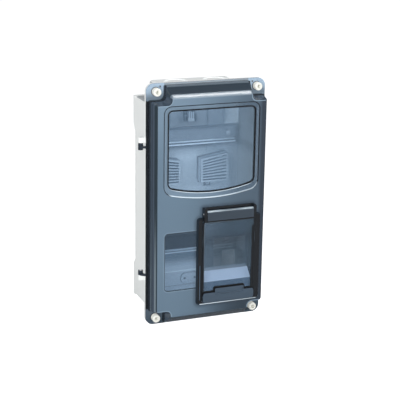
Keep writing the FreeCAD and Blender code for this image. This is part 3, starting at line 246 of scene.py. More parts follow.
# The window ring and pane: painted light at the left and painted shade at the right
RING_PAINTED_LIGHT = (0.160, 0.225, 0.290)
RING_PAINTED_SHADE = (0.072, 0.106, 0.145)
PANE_TONE = (0.22, 0.34, 0.48)
PANE_PAINTED_SHADE = (0.110, 0.155, 0.200)
# Painted shade at the top of the side window's pane
SIDE_PANE_PAINTED_SHADE = (0.030, 0.050, 0.075)
EAR_TONE = (0.350, 0.460, 0.580)
EAR_SHADE = (0.150, 0.200, 0.250)
FLAP_PANE_TONE = (0.050, 0.078, 0.106)
FLAP_PANE_LEFT = (0.076, 0.112, 0.150)
# A band of painted shade across the flap's window
FLAP_PAINTED_SHADE = (0.034, 0.046, 0.062)
FLAP_BORDER = (0.010, 0.013, 0.018)
BORDER_SHADE = 0.85
# Painted shade on the panel's right edge and round the collar
PAINTED_SHADE_TONE = (0.026, 0.038, 0.056)
LINE_TONE = (0.004, 0.005, 0.007)
# Painted highlight along the window lines and the collar's crest
PAINTED_HIGHLIGHT_TONE = (0.62, 0.72, 0.80)
# Painted light on the side window's edge and on the notches' edges
PAINTED_LIGHT_TONE = (0.24, 0.33, 0.42)
SHADE_TONE = (0.026, 0.038, 0.048)
COLLAR_TONE = (0.006, 0.008, 0.011)
PANE_TINT = (0.79, 0.885, 0.985)
FLAP_TINT = (0.74, 0.80, 0.88)
WHITE = (1.0, 1.0, 1.0)

# Looks of the zones on the cover and the flap: tone, haze and roughness. A haze of 1 hides all behind it.
RIGHT_EDGE_PAINTED_SHADE = (PAINTED_SHADE_TONE, 0.96, 0.28)
TOP_EDGE_PAINTED_LIGHT = ((0.62, 0.68, 0.74), 0.96, 0.28)
OUTER_DARK = (LINE_TONE, 0.96, 0.2)
INNER_DARK = (LINE_TONE, 0.97, 0.2)
PAINTED_EDGE_HIGHLIGHT = (PAINTED_HIGHLIGHT_TONE, 1.0, 0.2)
SIDE_DARK = (SHADE_TONE, 0.92, 0.2)
SIDE_PAINTED_LIGHT = (PAINTED_LIGHT_TONE, 0.92, 0.2)
POCKET_WALL = ((0.060, 0.088, 0.120), 0.5, 0.2)
# Painted light on the pocket's lower slope
POCKET_SLOPE_PAINTED_LIGHT = ((0.66, 0.76, 0.87), 0.97, 0.3)
POCKET_RIGHT = (COLLAR_TONE, 0.97, 0.2)
GROUND = ((0.160, 0.220, 0.285), 0.95, 0.25)
ABOVE_HINGE = (COLLAR_TONE, 0.99, 0.2)
COLLAR_SLOPE = ((0.014, 0.021, 0.030), 0.99, 0.16)
COLLAR_CREST = (COLLAR_TONE, 0.99, 0.16)
# Painted highlights along the collar's lower crest and its left crest
CREST_PAINTED_HIGHLIGHT = (PAINTED_HIGHLIGHT_TONE, 1.0, 0.16)
CREST_PAINTED_SHEEN = ((0.06, 0.10, 0.15), 1.0, 0.16)
# Painted light on the rounded edges of the panel's notches
NOTCH_PAINTED_LIGHT = (PAINTED_LIGHT_TONE, 0.95, 0.2)
SIDE = ((0.046, 0.064, 0.090), 0.98, 0.17)
TOP_SIDE = ((0.032, 0.045, 0.060), 0.98, 0.12)
# The top bevel painted lighter, with a painted highlight on its front, under the lamp's real highlight
TOP_BEVEL_PAINTED_LIGHT = ((0.13, 0.17, 0.21), 0.98, 0.14)
TOP_BEVEL_PAINTED_HIGHLIGHT = ((0.24, 0.29, 0.34), 0.98, 0.14)
LOW_BEVEL = ((0.045, 0.065, 0.085), 0.98, 0.2)
# Painted shade on the bevel and its edge at the panel's left side
LEFT_BEVEL_PAINTED_SHADE = (SHADE_TONE, 0.98, 0.15)
LEFT_BEVEL_EDGE_PAINTED_SHADE = (SHADE_TONE, 0.98, 0.2)
NOTCH_DARK = (LINE_TONE, 0.99, 0.2)
MOULD_LINE = (SHADE_TONE, 0.99, 0.2)
FLANK = ((0.058, 0.080, 0.110), 0.98, 0.17)
STEP_SIDE = ((0.034, 0.047, 0.064), 0.99, 0.2)
STEP = (FLAP_BORDER, 0.99, 0.2)
# Painted light on the top faces of the upper steps, and on the lower steps to lift their shade
TOP_STEP_PAINTED_LIGHT = ((0.110, 0.140, 0.170), 0.98, 0.2)
LOW_STEP_PAINTED_LIGHT = ((0.250, 0.290, 0.320), 0.98, 0.2)
# Painted glints on the foot of the left flank
FOOT_PAINTED_GLINT = ((0.150, 0.190, 0.220), 0.98, 0.17)
FLANGE = ((0.012, 0.015, 0.019), 0.98, 0.22)
# Painted light along the flange's top edge, and on its lower edge to lift its shade
FLANGE_TOP_PAINTED_LIGHT = ((0.290, 0.340, 0.385), 0.98, 0.22)
FLANGE_LOW_PAINTED_LIGHT = ((0.420, 0.460, 0.500), 0.98, 0.22)
LOW_EAR = ((0.070, 0.098, 0.130), 0.97, 0.24)
SEAL_HOLE = (FLAP_BORDER, 0.99, 0.3)
CLIP = ((0.020, 0.028, 0.040), 0.99, 0.2)
FLAP_RIGHT = (COLLAR_TONE, 0.97, 0.14)
# Painted highlight on the flap window's upper left edge
FLAP_PAINTED_HIGHLIGHT = ((0.11, 0.15, 0.19), 0.8, 0.14)
FLAP_DARK = (COLLAR_TONE, 0.98, 0.14)
STRIP = ((0.050, 0.076, 0.108), 0.94, 0.28)
STRIP_DARK = (LINE_TONE, 0.98, 0.2)
HINGE = ((0.036, 0.050, 0.068), 0.96, 0.13)
HINGE_DARK = (LINE_TONE, 0.97, 0.13)
HINGE_TOP = (COLLAR_TONE, 0.97, 0.13)
# Painted highlight along the hinge's top
HINGE_PAINTED_HIGHLIGHT = ((0.34, 0.41, 0.46), 0.97, 0.13)

# Haze and roughness where the tone is blended. Two hazes stand for where a blend starts and ends.
PANEL_HAZE = (0.90, 0.985)
PANEL_ROUGH = 0.33
RING_FINISH = (0.70, 0.25)
PANE_HAZE = (0.14, 0.46)
SIDE_PANE_HAZE = (0.16, 0.66)
PANE_ROUGH = 0.06
EAR_FINISH = (0.97, 0.24)
BORDER_FINISH = (0.96, 0.16)
FLAP_PANE_HAZE = (0.56, 0.16)
FLAP_PANE_ROUGH = 0.05

# Masks on the panel and its windows. A plain number in a mask, or a share, makes it weaker.
# Where the panel's painted light gives way to painted shade, where the painted glow lies at the top left and
# painted shade at the lower right
ACROSS_PANEL = ("x", -0.085, 0.100)
TO_TOP_LEFT = (0.12, 0.27)
TOP_LEFT_SLANT = 0.6
TOP_LEFT_SHARE = 0.75
LOW_RIGHT = (("z", -0.150, -0.196), ("x", -0.040, 0.070))
LOW_RIGHT_SHARE = 0.85
PANEL_CLOUD_SHARES = (0.0, 0.26)
# Where painted shade lies along the panel's right edge
RIGHT_ROLL = ("x", 0.0895, 0.0975)
# Where a painted highlight lies along the panel's top edge
TOP_LIP = (("z", 0.2008, 0.2030), 0.35)
ACROSS_WINDOW = ("x", -0.030, 0.085)
WINDOW_BOW = ("z", 0.042, 0.034)
PAST_LEFT_CORNER = ("x", -0.084, -0.074)
# Where the painted highlights on the window lines are strongest
WINDOW_HIGHLIGHT_FADES = ("x", 0.0, 0.080)
WINDOW_HIGHLIGHT_SHARES = (1.0, 0.6)
# Where painted shade lies at the top of the side window's pane
SHADED_PANE = ("z", -0.0738, -0.0718)

# Masks on the pocket and the collar
UNDER_FACE = under("depth", 0.1322)
POCKET_FOOT = under("z", -0.1225)
POCKET_END = ("x", 0.0802, 0.0808)
ON_FACE = ("depth", 0.1321, 0.1324)
ON_COLLAR = ("depth", 0.1327, 0.1330)
ON_CREST = ("depth", 0.1366, 0.1369)
# Where the painted highlight lies along the collar's lower crest
CREST_FOOT = (under("z", -0.1822), over("z", -0.1836))
CREST_FADES = ("x", 0.0, 0.090)
CREST_SHARES = (0.95, 0.6)
COLLAR_SHARE = 0.55

# Masks on the bevels, flanks, steps and flange
BEHIND_FACE = under("depth", 0.1324)
NEAR_FACE = ("depth", 0.1320, 0.1323)
PANEL_TOP = ("z", 0.2027, 0.2031)
BEVEL_TOP = ("z", 0.2028, 0.2032)
ON_BEVEL = ("depth", 0.1259, 0.1262)
BEVEL_FRONT = ("depth", 0.1294, 0.1312)
BEVEL_EDGE = ("depth", 0.1308, 0.1312)
BEVEL_MIDDLE = 0.12925
BEVEL_HALF = 0.00325
HUMP_HEIGHT = 0.14 * MM
HUMP_START = 0.001
PANEL_LOW_END = under("z", -0.2030)
LEFT = under("x", -0.1026)
LEFT_EDGE = under("x", -0.1024)
IN_NOTCH = ("depth", 0.1312, 0.1316)
AT_MOULD_LINE = (over("depth", 0.1186), under("depth", 0.1196))
ON_FLANK = (over("depth", 0.1200), under("depth", 0.1258))
SECOND_STEP = under("depth", 0.1121)
FIRST_STEP = under("depth", 0.1071)
STEP_FRONT = ("depth", 0.1040, 0.1060)
MIDDLE = ("wide", 0.0790, 0.0770)
TOP_STEPS = ("z", 0.2105, 0.2115)
LOW_STEPS = under("z", -0.2105)
TO_FOOT = ("z", 0.020, -0.140)
PAINTED_GLINT_BANDS = ((over("depth", 0.1262), under("depth", 0.1300)), (over("depth", 0.1135), under("depth", 0.1152)))
ON_FLANGE = under("depth", 0.10095)
FLANGE_UPPER = ("z", 0.2212, 0.2220)
FLANGE_LOWER = under("z", -0.2160)
AT_EARS = ("wide", 0.0795, 0.0805)
UPPER_EARS = ("z", 0.1940, 0.1950)
UP_THE_EAR = ("z", 0.1980, 0.2120)
LOWER_EARS = under("z", -0.1945)
SEAL_HOLE_PLACE = (0.08795, 0.21925)
SEAL_HOLE_RADIUS = 0.0017
AT_CLIPS = under("x", -0.1134)

# Masks on the flap
PANE_FOOT = ("z", -0.1180, -0.1195)
PANE_LEFT = ("x", -0.012, 0.030)
CROSS_PAINTED_SHADE = (("z", -0.078, -0.064), ("z", -0.046, -0.058), 0.55)
RIGHT_BAND = (("x", 0.0786, 0.0790), ("z", -0.0390, -0.0400))
FROM_TOP_LEFT = (0.075, 0.040)
STRIP_TOP = ("z", -0.168, -0.165)
ON_HINGE = (("z", -0.0245, -0.0240), ("depth", 0.1388, 0.1392))
HINGE_FOOT = under("z", -0.0217)
HINGE_CROWN = ("z", -0.0036, -0.0031)
HINGE_LINE = (("z", -0.0062, -0.0052), under("z", -0.0034))
HINGE_MIDDLE = 0.034
FROM_HINGE_MIDDLE = (0.008, 0.030)
HINGE_HIGHLIGHT_SHARES = (0.5, 1.0)


# Finishes: small helpers for node trees

class Finish:
    """A material whose nodes are added and linked in plain steps."""

    def __init__(self, name):
        self.material = bpy.data.materials.new(name)
        self.material.use_nodes = True
        self.tree = self.material.node_tree
        self.tree.nodes.clear()
        self.output = self.node("ShaderNodeOutputMaterial")
        self.place = self.node("ShaderNodeTexCoord").outputs["Object"]

    def node(self, kind, **settings):
        made = self.tree.nodes.new(kind)
        for name, value in settings.items():
            setattr(made, name, value)
        return made

    def feed(self, socket, value):
        """Links another node's output to a socket, or sets a plain number or a tone on it."""
        if isinstance(value, bpy.types.NodeSocket):
            self.tree.links.new(value, socket)
        else:
            socket.default_value = (*value, 1.0) if socket.type == "RGBA" else value

    def math(self, operation, first, second=0.0, clamp=False):
        made = self.node("ShaderNodeMath", operation=operation, use_clamp=clamp)
        self.feed(made.inputs[0], first)
        self.feed(made.inputs[1], second)
        return made.outputs[0]

    def axes(self):
        """Splits a place into x, z and depth. Wide and tall are its distances from the middle."""
        made = self.node("ShaderNodeSeparateXYZ")
        self.feed(made.inputs[0], self.place)
        x, y, z = made.outputs[:3]
        depth = self.math("MULTIPLY", y, -1.0)
        self.axis = {"x": x, "z": z, "depth": depth,
                     "wide": self.math("ABSOLUTE", x), "tall": self.math("ABSOLUTE", z)}
        return x, z, depth

    def noise(self, scale, detail, stretch=(1, 1, 1)):
        mapping = self.node("ShaderNodeMapping")
        self.feed(mapping.inputs["Vector"], self.place)
        self.feed(mapping.inputs["Scale"], stretch)
        made = self.node("ShaderNodeTexNoise")
        self.feed(made.inputs["Vector"], mapping.outputs[0])
        self.feed(made.inputs["Scale"], scale)
        self.feed(made.inputs["Detail"], detail)
        return made.outputs["Fac"]

    def spread(self, value, low, high):
        """Maps a 0 to 1 value onto a range."""
        made = self.node("ShaderNodeMapRange")
        self.feed(made.inputs["Value"], value)
        self.feed(made.inputs["To Min"], low)
        self.feed(made.inputs["To Max"], high)
        return made.outputs[0]

    def fade(self, value, start, end):
        """0 before the start and 1 past the end, smooth between. The end may lie below the start."""
        made = self.node("ShaderNodeMapRange", interpolation_type="SMOOTHSTEP")
        self.feed(made.inputs["Value"], value)
        self.feed(made.inputs["From Min"], start)
        self.feed(made.inputs["From Max"], end)
        return made.outputs[0]

    def blend(self, share, first, second):
        """Tones blended by a share."""
        made = self.node("ShaderNodeMix", data_type="RGBA")
        self.feed(made.inputs["Factor"], share)
        self.feed(made.inputs[6], first)
        self.feed(made.inputs[7], second)
        return made.outputs[2]

    def mix(self, share, first, second):
        """Plain numbers blended by a share."""
        made = self.node("ShaderNodeMix", data_type="FLOAT")
        self.feed(made.inputs["Factor"], share)
        self.feed(made.inputs[2], first)
        self.feed(made.inputs[3], second)
        return made.outputs[0]

    def bump(self, height, distance, strength=1.0, below=None):
        made = self.node("ShaderNodeBump")
        self.feed(made.inputs["Strength"], strength)
        self.feed(made.inputs["Distance"], distance)
        self.feed(made.inputs["Height"], height)
        if below is not None:
            self.feed(made.inputs["Normal"], below)
        return made.outputs["Normal"]

    def where(self, *masks):
        """Where every mask holds. A mask is an axis with its fade, a socket or a plain share."""
        shared = None
        for mask in masks:
            if isinstance(mask, tuple):
                axis, start, end = mask
                mask = self.fade(self.axis[axis], start, end)
            shared = mask if shared is None else self.math("MULTIPLY", shared, mask)
        return shared

    def other(self, mask):
        return self.math("SUBTRACT", 1.0, mask)

    def reach(self, first, second, centre):
        """How far a point lies from a centre in one plane."""
        squares = []
        for value, middle in zip((first, second), centre):
            off = self.math("SUBTRACT", value, middle)
            squares.append(self.math("MULTIPLY", off, off))
        return self.math("SQRT", self.math("ADD", *squares))

    def rounded(self, first, second, corner):
        """Joins the distances from two edges of an outline, with a rounded corner between them."""
        parts = []
        for gap in (first, second):
            past = self.math("MAXIMUM", self.math("ADD", gap, corner), 0.0)
            parts.append(self.math("MULTIPLY", past, past))
        return self.math("SUBTRACT", self.math("SQRT", self.math("ADD", *parts)), corner)

    def box_gap(self, x, z, outline):
        """How far a point lies outside a rounded rectangle seen from the front."""
        left, right, low, high, corner = outline
        gaps = []
        for value, start, end in ((x, left, right), (z, low, high)):
            off = self.math("ABSOLUTE", self.math("SUBTRACT", value, (start + end) / 2))
            gaps.append(self.math("SUBTRACT", off, (end - start) / 2))
        return self.rounded(*gaps, corner)

    def notch_gap(self):
        """How far a point lies inside one of the four corner notches of the panel."""
        off_side = self.math("SUBTRACT", NOTCH_SIDE, self.axis["wide"])
        off_end = self.math("SUBTRACT", NOTCH_END, self.axis["tall"])
        return self.math("MULTIPLY", self.rounded(off_side, off_end, NOTCH_ROUND), -1.0)

    def bowed_gap(self, x, z, window):
        """How far a point lies outside a window with straight sides and top and a foot that bows down."""
        side, top, low, sag, corner = window
        radius = (side * side + sag * sag) / (2 * sag)
        off_side = self.math("SUBTRACT", self.axis["wide"], side)
        off_top = self.math("SUBTRACT", z, top)
        off_bow = self.math("SUBTRACT", self.reach(x, z, (0.0, low + radius)), radius)
        return self.rounded(off_side, self.math("MAXIMUM", off_top, off_bow), corner)

    def inside(self, gap, edge):
        """1 where a distance is under the edge."""
        return self.other(self.fade(gap, edge - LINE_SOFT, edge + LINE_SOFT))

    def band(self, gap, start, end):
        """1 where a distance lies between two others."""
        return self.math("SUBTRACT", self.inside(gap, end), self.inside(gap, start))

    def surface(self, shader):
        self.tree.links.new(shader, self.output.inputs["Surface"])
        return self.material


def shaded(tone, share):
    """A tone made darker or lighter."""
    return tuple(part * share for part in tone)


def moulded_surface(finish, tone, gloss, pore_depth=PORE_DEPTH):
    """A moulded plastic's surface: an even gloss, fine spark-eroded pores and slight waves."""
    shader = finish.node("ShaderNodeBsdfPrincipled")
    finish.feed(shader.inputs["Base Color"], tone)
    patches = finish.noise(*GLOSS_PATCHES)
    finish.feed(shader.inputs["Roughness"], finish.spread(patches, *gloss))
    finish.feed(shader.inputs["IOR"], PLASTIC_IOR)
    pores = finish.bump(finish.noise(*PORES), pore_depth)
    waves = finish.bump(finish.noise(*WAVES), pore_depth * WAVES_TO_PORES, WAVE_STRENGTH, pores)
    finish.feed(shader.inputs["Normal"], waves)
    return finish.surface(shader.outputs[0])


def screw_plastic(name):
    """The white plastic of the cover screws."""
    finish = Finish(name)
    tone = finish.blend(finish.noise(*FLOW_MARKS), *(shaded(SCREW_TONE, share) for share in FLOW_SHADES))
    return moulded_surface(finish, tone, SCREW_GLOSS, SCREW_PORE_DEPTH)


def housing_plastic(name):
    """The box's light grey plastic, paler on the knock-out rings, painted darker inside as shade, with
    painted shade and painted light on its floor and walls.
    """
    finish = Finish(name)
    x, z, depth = finish.axes()
    tone = finish.blend(finish.noise(*FLOW_MARKS), HOUSING_SHADE, HOUSING_TONE)
    for centre in KNOCKOUT_PLACES:
        ring = finish.band(finish.reach(x, depth, centre), *KNOCKOUT_RADII)
        tone = finish.blend(finish.where(END_WALL, ring), tone, KNOCKOUT_TONE)
    inside = finish.where(*INSIDE)
    tone = finish.blend(inside, tone, INSIDE_PAINTED_SHADE)
    # Painted light on the floor between the supports
    tone = finish.blend(finish.where(inside, *PAINTED_LIT_FLOOR), tone, INSIDE_PAINTED_LIGHT)
    # Painted shadow on the floor behind the supports, seen through their slots
    for outline in SUPPORT_PAINTED_SHADOWS:
        ground = finish.inside(finish.box_gap(x, z, outline), 0.0)
        tone = finish.blend(finish.where(inside, ground, ON_FLOOR), tone, INSIDE_SHADE_AND_SEAM)
    for shade, share, *masks in INSIDE_SHADES:
        tone = finish.blend(finish.where(inside, share, *masks), tone, shade)
    # A ring of painted shade on the floor round the foot of the terminal pad
    pad_shade = finish.band(finish.box_gap(x, z, TERMINAL_PAD), *PAD_SHADE_RING)
    tone = finish.blend(finish.where(inside, pad_shade, PAD_SHADE_SHARE), tone, INSIDE_SHADE_AND_SEAM)
    for centre in PAD_HOLES:
        hole = finish.inside(finish.reach(x, z, centre), PAD_HOLE_RADIUS)
        tone = finish.blend(finish.where(inside, hole), tone, PAD_HOLE_TONE)
    return moulded_surface(finish, tone, HOUSING_GLOSS)


def inner_plastic(name):
    """The plastic of the meter hook and supports, with painted shade down in its slots and at its feet."""
    finish = Finish(name)
    x = finish.axes()[0]
    tone = finish.blend(finish.noise(*FLOW_MARKS), INNER_SHADE, INNER_TONE)
    along = finish.math("FRACT", finish.math("DIVIDE", finish.math("ADD", x, COMB_START), COMB_PITCH))
    for masks in (INNER_FEET, HOOK_SLOT, SUPPORT_SLOTS, (*COMB, finish.inside(along, COMB_GAP))):
        # Painted shade at the feet, in the slots and between the comb's teeth
        tone = finish.blend(finish.where(*masks), tone, INNER_PAINTED_SHADE)
    return moulded_surface(finish, tone, INNER_GLOSS)


def plated_surface(finish, tone, metal, gloss, stretch=(1, 1, 1)):
    """A zinc-plated surface with fine lines from the rolling."""
    shader = finish.node("ShaderNodeBsdfPrincipled")
    finish.feed(shader.inputs["Base Color"], tone)
    finish.feed(shader.inputs["Metallic"], metal)
    lines = finish.noise(*ROLLING, stretch)
    finish.feed(shader.inputs["Roughness"], finish.spread(lines, *gloss))
    finish.feed(shader.inputs["Normal"], finish.bump(lines, ROLLING_DEPTH, ROLLING_STRENGTH))
    return finish.surface(shader.outputs[0])


def screw_steel(name):
    """The bright zinc plating of the pins and the inner screws, with a faint spangle."""
    finish = Finish(name)
    tone = finish.blend(finish.noise(*SPANGLE), shaded(STEEL_TONE, SPANGLE_SHADE), STEEL_TONE)
    return plated_surface(finish, tone, STEEL_METAL, STEEL_GLOSS)


def rail_steel(name):
    """Zinc-plated rail strip: painted highlights on the folds at its lower lip, and painted shade on that lip
    and on its upper edge.
    """
    finish = Finish(name)
    z = finish.axes()[1]
    tone = finish.blend(finish.noise(*SPANGLE), RAIL_SHADE, RAIL_TONE)
    upper = finish.fade(z, -MM, MM)
    off = finish.math("SUBTRACT", z, finish.mix(upper, *RAIL_LEVELS))
    tone = finish.blend(finish.where(LIP_FACE, finish.band(off, *LIP_SHADE)), tone, RAIL_PAINTED_SHADE)
    painted_glint = finish.blend(upper, RAIL_PAINTED_GLINT, RAIL_PAINTED_HIGHLIGHT)
    web_foot = finish.where(finish.band(off, *WEB_FOOT), upper)
    folds = finish.math("MAXIMUM", finish.band(off, *WALL_FOOT), web_foot)
    tone = finish.blend(finish.where(folds, UNDER_LIP), tone, painted_glint)
    tone = finish.blend(finish.where(LIP_FACE, finish.band(off, *LIP_EDGE)), tone, painted_glint)
    tone = finish.blend(finish.band(off, *UPPER_EDGE), tone, RAIL_PAINTED_SHADE)
    return plated_surface(finish, tone, RAIL_METAL, RAIL_GLOSS, ALONG_RAIL)


def soft_rubber(name):
    """The dark rubber of the seals, a little uneven."""
    finish = Finish(name)
    shader = finish.node("ShaderNodeBsdfPrincipled")
    clouds = finish.noise(*RUBBER_CLOUDS)
    finish.feed(shader.inputs["Base Color"], finish.blend(clouds, *RUBBER_TONES))
    finish.feed(shader.inputs["Roughness"], finish.spread(clouds, *RUBBER_GLOSS))
    finish.feed(shader.inputs["Normal"], finish.bump(finish.noise(*RUBBER_PORES), RUBBER_PORE_DEPTH))
    return finish.surface(shader.outputs[0])


class Zones:
    """Layers of tone, haze and gloss on one smoked plastic, each laid over the last by masks."""

    def __init__(self, finish, tone, haze, rough):
        self.finish = finish
        self.tone = tone
        self.haze = haze
        self.rough = rough

    def lay(self, look, *masks):
        tone, haze, rough = look
        finish = self.finish
        mask = finish.where(*masks)
        self.tone = finish.blend(mask, self.tone, tone)
        self.haze = finish.mix(mask, self.haze, haze)
        self.rough = finish.mix(mask, self.rough, rough)

    def darken(self, tone, *masks):
        """Lays a tone alone and leaves haze and gloss as they are."""
        self.tone = self.finish.blend(self.finish.where(*masks), self.tone, tone)


def smoked_surface(finish, zones, normal, tint):
    """A see-through plastic. The haze shows the plastic itself, and less of it stops the lamps."""
    body = finish.node("ShaderNodeBsdfPrincipled")
    finish.feed(body.inputs["Base Color"], zones.tone)
    finish.feed(body.inputs["Roughness"], zones.rough)
    finish.feed(body.inputs["IOR"], PLASTIC_IOR)
    finish.feed(body.inputs["Specular IOR Level"], SMOKED_SPECULAR)
    finish.feed(body.inputs["Normal"], normal)
    path = finish.node("ShaderNodeLightPath").outputs
    lighting = finish.math("MAXIMUM", path["Is Shadow Ray"], path["Is Diffuse Ray"])
    opened = finish.where(lighting, zones.haze, 1.0 - LAMP_SHARE)
    through = finish.node("ShaderNodeBsdfTransparent")
    finish.feed(through.inputs["Color"], finish.blend(lighting, tint, WHITE))
    mixed = finish.node("ShaderNodeMixShader")
    finish.feed(mixed.inputs[0], finish.math("SUBTRACT", zones.haze, opened))
    finish.feed(mixed.inputs[1], through.outputs[0])
    finish.feed(mixed.inputs[2], body.outputs[0])
    return finish.surface(mixed.outputs[0])


def panel_zones(finish, x, z):
    """The frosted panel with painted light at the left and top, painted shade at the right and the lower
    right, and random clouds.
    """
    tone = finish.blend(finish.where(ACROSS_PANEL), PANEL_PAINTED_LIGHT, PANEL_SHADE_AND_CLOUDS)
    slanted = finish.math("SUBTRACT", z, finish.math("MULTIPLY", x, TOP_LEFT_SLANT))
    tone = finish.blend(finish.where(finish.fade(slanted, *TO_TOP_LEFT), TOP_LEFT_SHARE), tone, PANEL_PAINTED_GLOW)
    low_right = finish.where(*LOW_RIGHT)
    tone = finish.blend(finish.where(low_right, LOW_RIGHT_SHARE), tone, PANEL_PAINTED_LOW_SHADE)
    tone = finish.blend(finish.spread(finish.noise(*PANEL_CLOUDS), *PANEL_CLOUD_SHARES), tone, PANEL_SHADE_AND_CLOUDS)
    zones = Zones(finish, tone, finish.mix(low_right, *PANEL_HAZE), PANEL_ROUGH)
    zones.lay(RIGHT_EDGE_PAINTED_SHADE, RIGHT_ROLL)
    zones.lay(TOP_EDGE_PAINTED_LIGHT, *TOP_LIP)
    return zones


def upper_window_zones(finish, zones, x, z):
    """A framed ring and the clear pane, with painted light at the left and painted shade at the right, two
    dark lines, and painted highlights on the lines at the bowed foot.
    """
    outer = finish.bowed_gap(x, z, WINDOW_OUTER)
    inner = finish.bowed_gap(x, z, WINDOW_INNER)
    to_right = finish.where(ACROSS_WINDOW)
    ring = finish.blend(to_right, RING_PAINTED_LIGHT, RING_PAINTED_SHADE)
    zones.lay((ring, *RING_FINISH), finish.inside(outer, RING_REACH))
    pane = finish.blend(to_right, PANE_TONE, PANE_PAINTED_SHADE)
    zones.lay((pane, finish.spread(to_right, *PANE_HAZE), PANE_ROUGH), finish.inside(inner, 0.0))
    zones.lay(OUTER_DARK, finish.band(outer, *OUTER_LINE))
    highlight_share = finish.spread(finish.where(WINDOW_HIGHLIGHT_FADES), *WINDOW_HIGHLIGHT_SHARES)
    zones.lay(PAINTED_EDGE_HIGHLIGHT, WINDOW_BOW, PAST_LEFT_CORNER, highlight_share, finish.band(outer, *OUTER_HIGHLIGHT))
    zones.lay(INNER_DARK, finish.band(inner, *INNER_LINE))
    zones.lay(PAINTED_EDGE_HIGHLIGHT, WINDOW_BOW, finish.band(inner, *INNER_HIGHLIGHT))


def side_window_zones(finish, zones, x, z):
    """The lower left window: a thin dark line and a band of painted light round a clear pane, with painted
    shade at its top.
    """
    side = finish.box_gap(x, z, SIDE_WINDOW)
    high = finish.where(SHADED_PANE)
    pane = finish.blend(high, PANE_TONE, SIDE_PANE_PAINTED_SHADE)
    zones.lay((pane, finish.spread(high, *SIDE_PANE_HAZE), PANE_ROUGH), finish.inside(side, 0.0))
    zones.lay(SIDE_DARK, finish.band(side, *SIDE_LINE))
    zones.lay(SIDE_PAINTED_LIGHT, finish.band(side, *SIDE_LIGHT_BAND))


def pocket_zones(finish, zones, x, z):
    """The breaker pocket with painted light on its lower slope, the ground under the flap, and the collar
    round it, with painted shade on the panel beside it and painted highlights on its crest.
    """
    collar = finish.math("MINIMUM", finish.box_gap(x, z, COLLAR_OUTLINE), finish.box_gap(x, z, CHEEKS))
    # Painted shade on the panel round the collar
    zones.darken(PAINTED_SHADE_TONE, finish.fade(collar, *COLLAR_ROUND), COLLAR_SHARE)
    in_pocket = finish.where(finish.inside(finish.box_gap(x, z, POCKET), POCKET_REACH), UNDER_FACE)
    zones.lay(POCKET_WALL, in_pocket)
    zones.lay(POCKET_SLOPE_PAINTED_LIGHT, in_pocket, POCKET_FOOT)
    zones.lay(POCKET_RIGHT, in_pocket, POCKET_END)
    zones.lay(GROUND, finish.inside(finish.box_gap(x, z, FLAP_ROOM), 0.0), ON_FACE)
    zones.lay(ABOVE_HINGE, finish.inside(finish.box_gap(x, z, HINGE_ROOM), 0.0), ON_FACE)
    zones.lay(COLLAR_SLOPE, ON_COLLAR)
    zones.lay(COLLAR_CREST, ON_CREST)
    zones.lay(CREST_PAINTED_HIGHLIGHT, ON_CREST, *CREST_FOOT, finish.spread(finish.where(CREST_FADES), *CREST_SHARES))
    zones.lay(CREST_PAINTED_SHEEN, ON_CREST, finish.inside(finish.box_gap(x, z, CREST_LINE), 0.0))


def outer_zones(finish, zones, x, z):
    """The flanks, bevels, steps, flange, ears and hinge clips outside the panel, with painted light, painted
    shade and painted glints on some of them.
    """
    notch = finish.notch_gap()
    rim = finish.math("MAXIMUM", finish.box_gap(x, z, PANEL), notch)
    outside = finish.where(finish.other(finish.inside(rim, PANEL_RIM)), BEHIND_FACE)
    zones.lay(NOTCH_PAINTED_LIGHT, finish.band(notch, *NOTCH_LIT), NEAR_FACE)
    zones.lay(SIDE, outside)
    zones.lay(TOP_SIDE, outside, PANEL_TOP)
    bevel = finish.where(outside, ON_BEVEL)
    zones.lay(TOP_BEVEL_PAINTED_LIGHT, bevel, BEVEL_TOP)
    zones.lay(TOP_BEVEL_PAINTED_HIGHLIGHT, bevel, BEVEL_TOP, BEVEL_FRONT)
    zones.lay(LOW_BEVEL, bevel, PANEL_LOW_END)
    zones.lay(LEFT_BEVEL_PAINTED_SHADE, bevel, LEFT)
    zones.lay(NOTCH_DARK, outside, IN_NOTCH, finish.fade(notch, *NOTCH_WALL))
    zones.lay(MOULD_LINE, outside, *AT_MOULD_LINE, LEFT)
    zones.lay(FLANK, outside, *ON_FLANK, LEFT)
    zones.lay(STEP_SIDE, outside, SECOND_STEP)
    zones.lay(STEP, outside, FIRST_STEP)
    zones.lay(TOP_STEP_PAINTED_LIGHT, outside, MIDDLE, TOP_STEPS, SECOND_STEP, STEP_FRONT)
    zones.lay(LOW_STEP_PAINTED_LIGHT, outside, MIDDLE, LOW_STEPS, SECOND_STEP)
    for painted_glint in PAINTED_GLINT_BANDS:
        zones.lay(FOOT_PAINTED_GLINT, outside, LEFT, *painted_glint, TO_FOOT)
    zones.lay(LEFT_BEVEL_EDGE_PAINTED_SHADE, outside, LEFT_EDGE, BEVEL_EDGE)
    flange = finish.where(outside, ON_FLANGE)
    zones.lay(FLANGE, flange)
    zones.lay(FLANGE_TOP_PAINTED_LIGHT, flange, FLANGE_UPPER)
    zones.lay(FLANGE_LOW_PAINTED_LIGHT, flange, MIDDLE, FLANGE_LOWER)
    ear = finish.blend(finish.where(UP_THE_EAR), EAR_SHADE, EAR_TONE)
    zones.lay((ear, *EAR_FINISH), flange, AT_EARS, UPPER_EARS)
    zones.lay(LOW_EAR, flange, AT_EARS, LOWER_EARS)
    seal_hole = finish.reach(finish.axis["wide"], finish.axis["tall"], SEAL_HOLE_PLACE)
    zones.lay(SEAL_HOLE, flange, finish.inside(seal_hole, SEAL_HOLE_RADIUS))
    zones.lay(CLIP, AT_CLIPS)


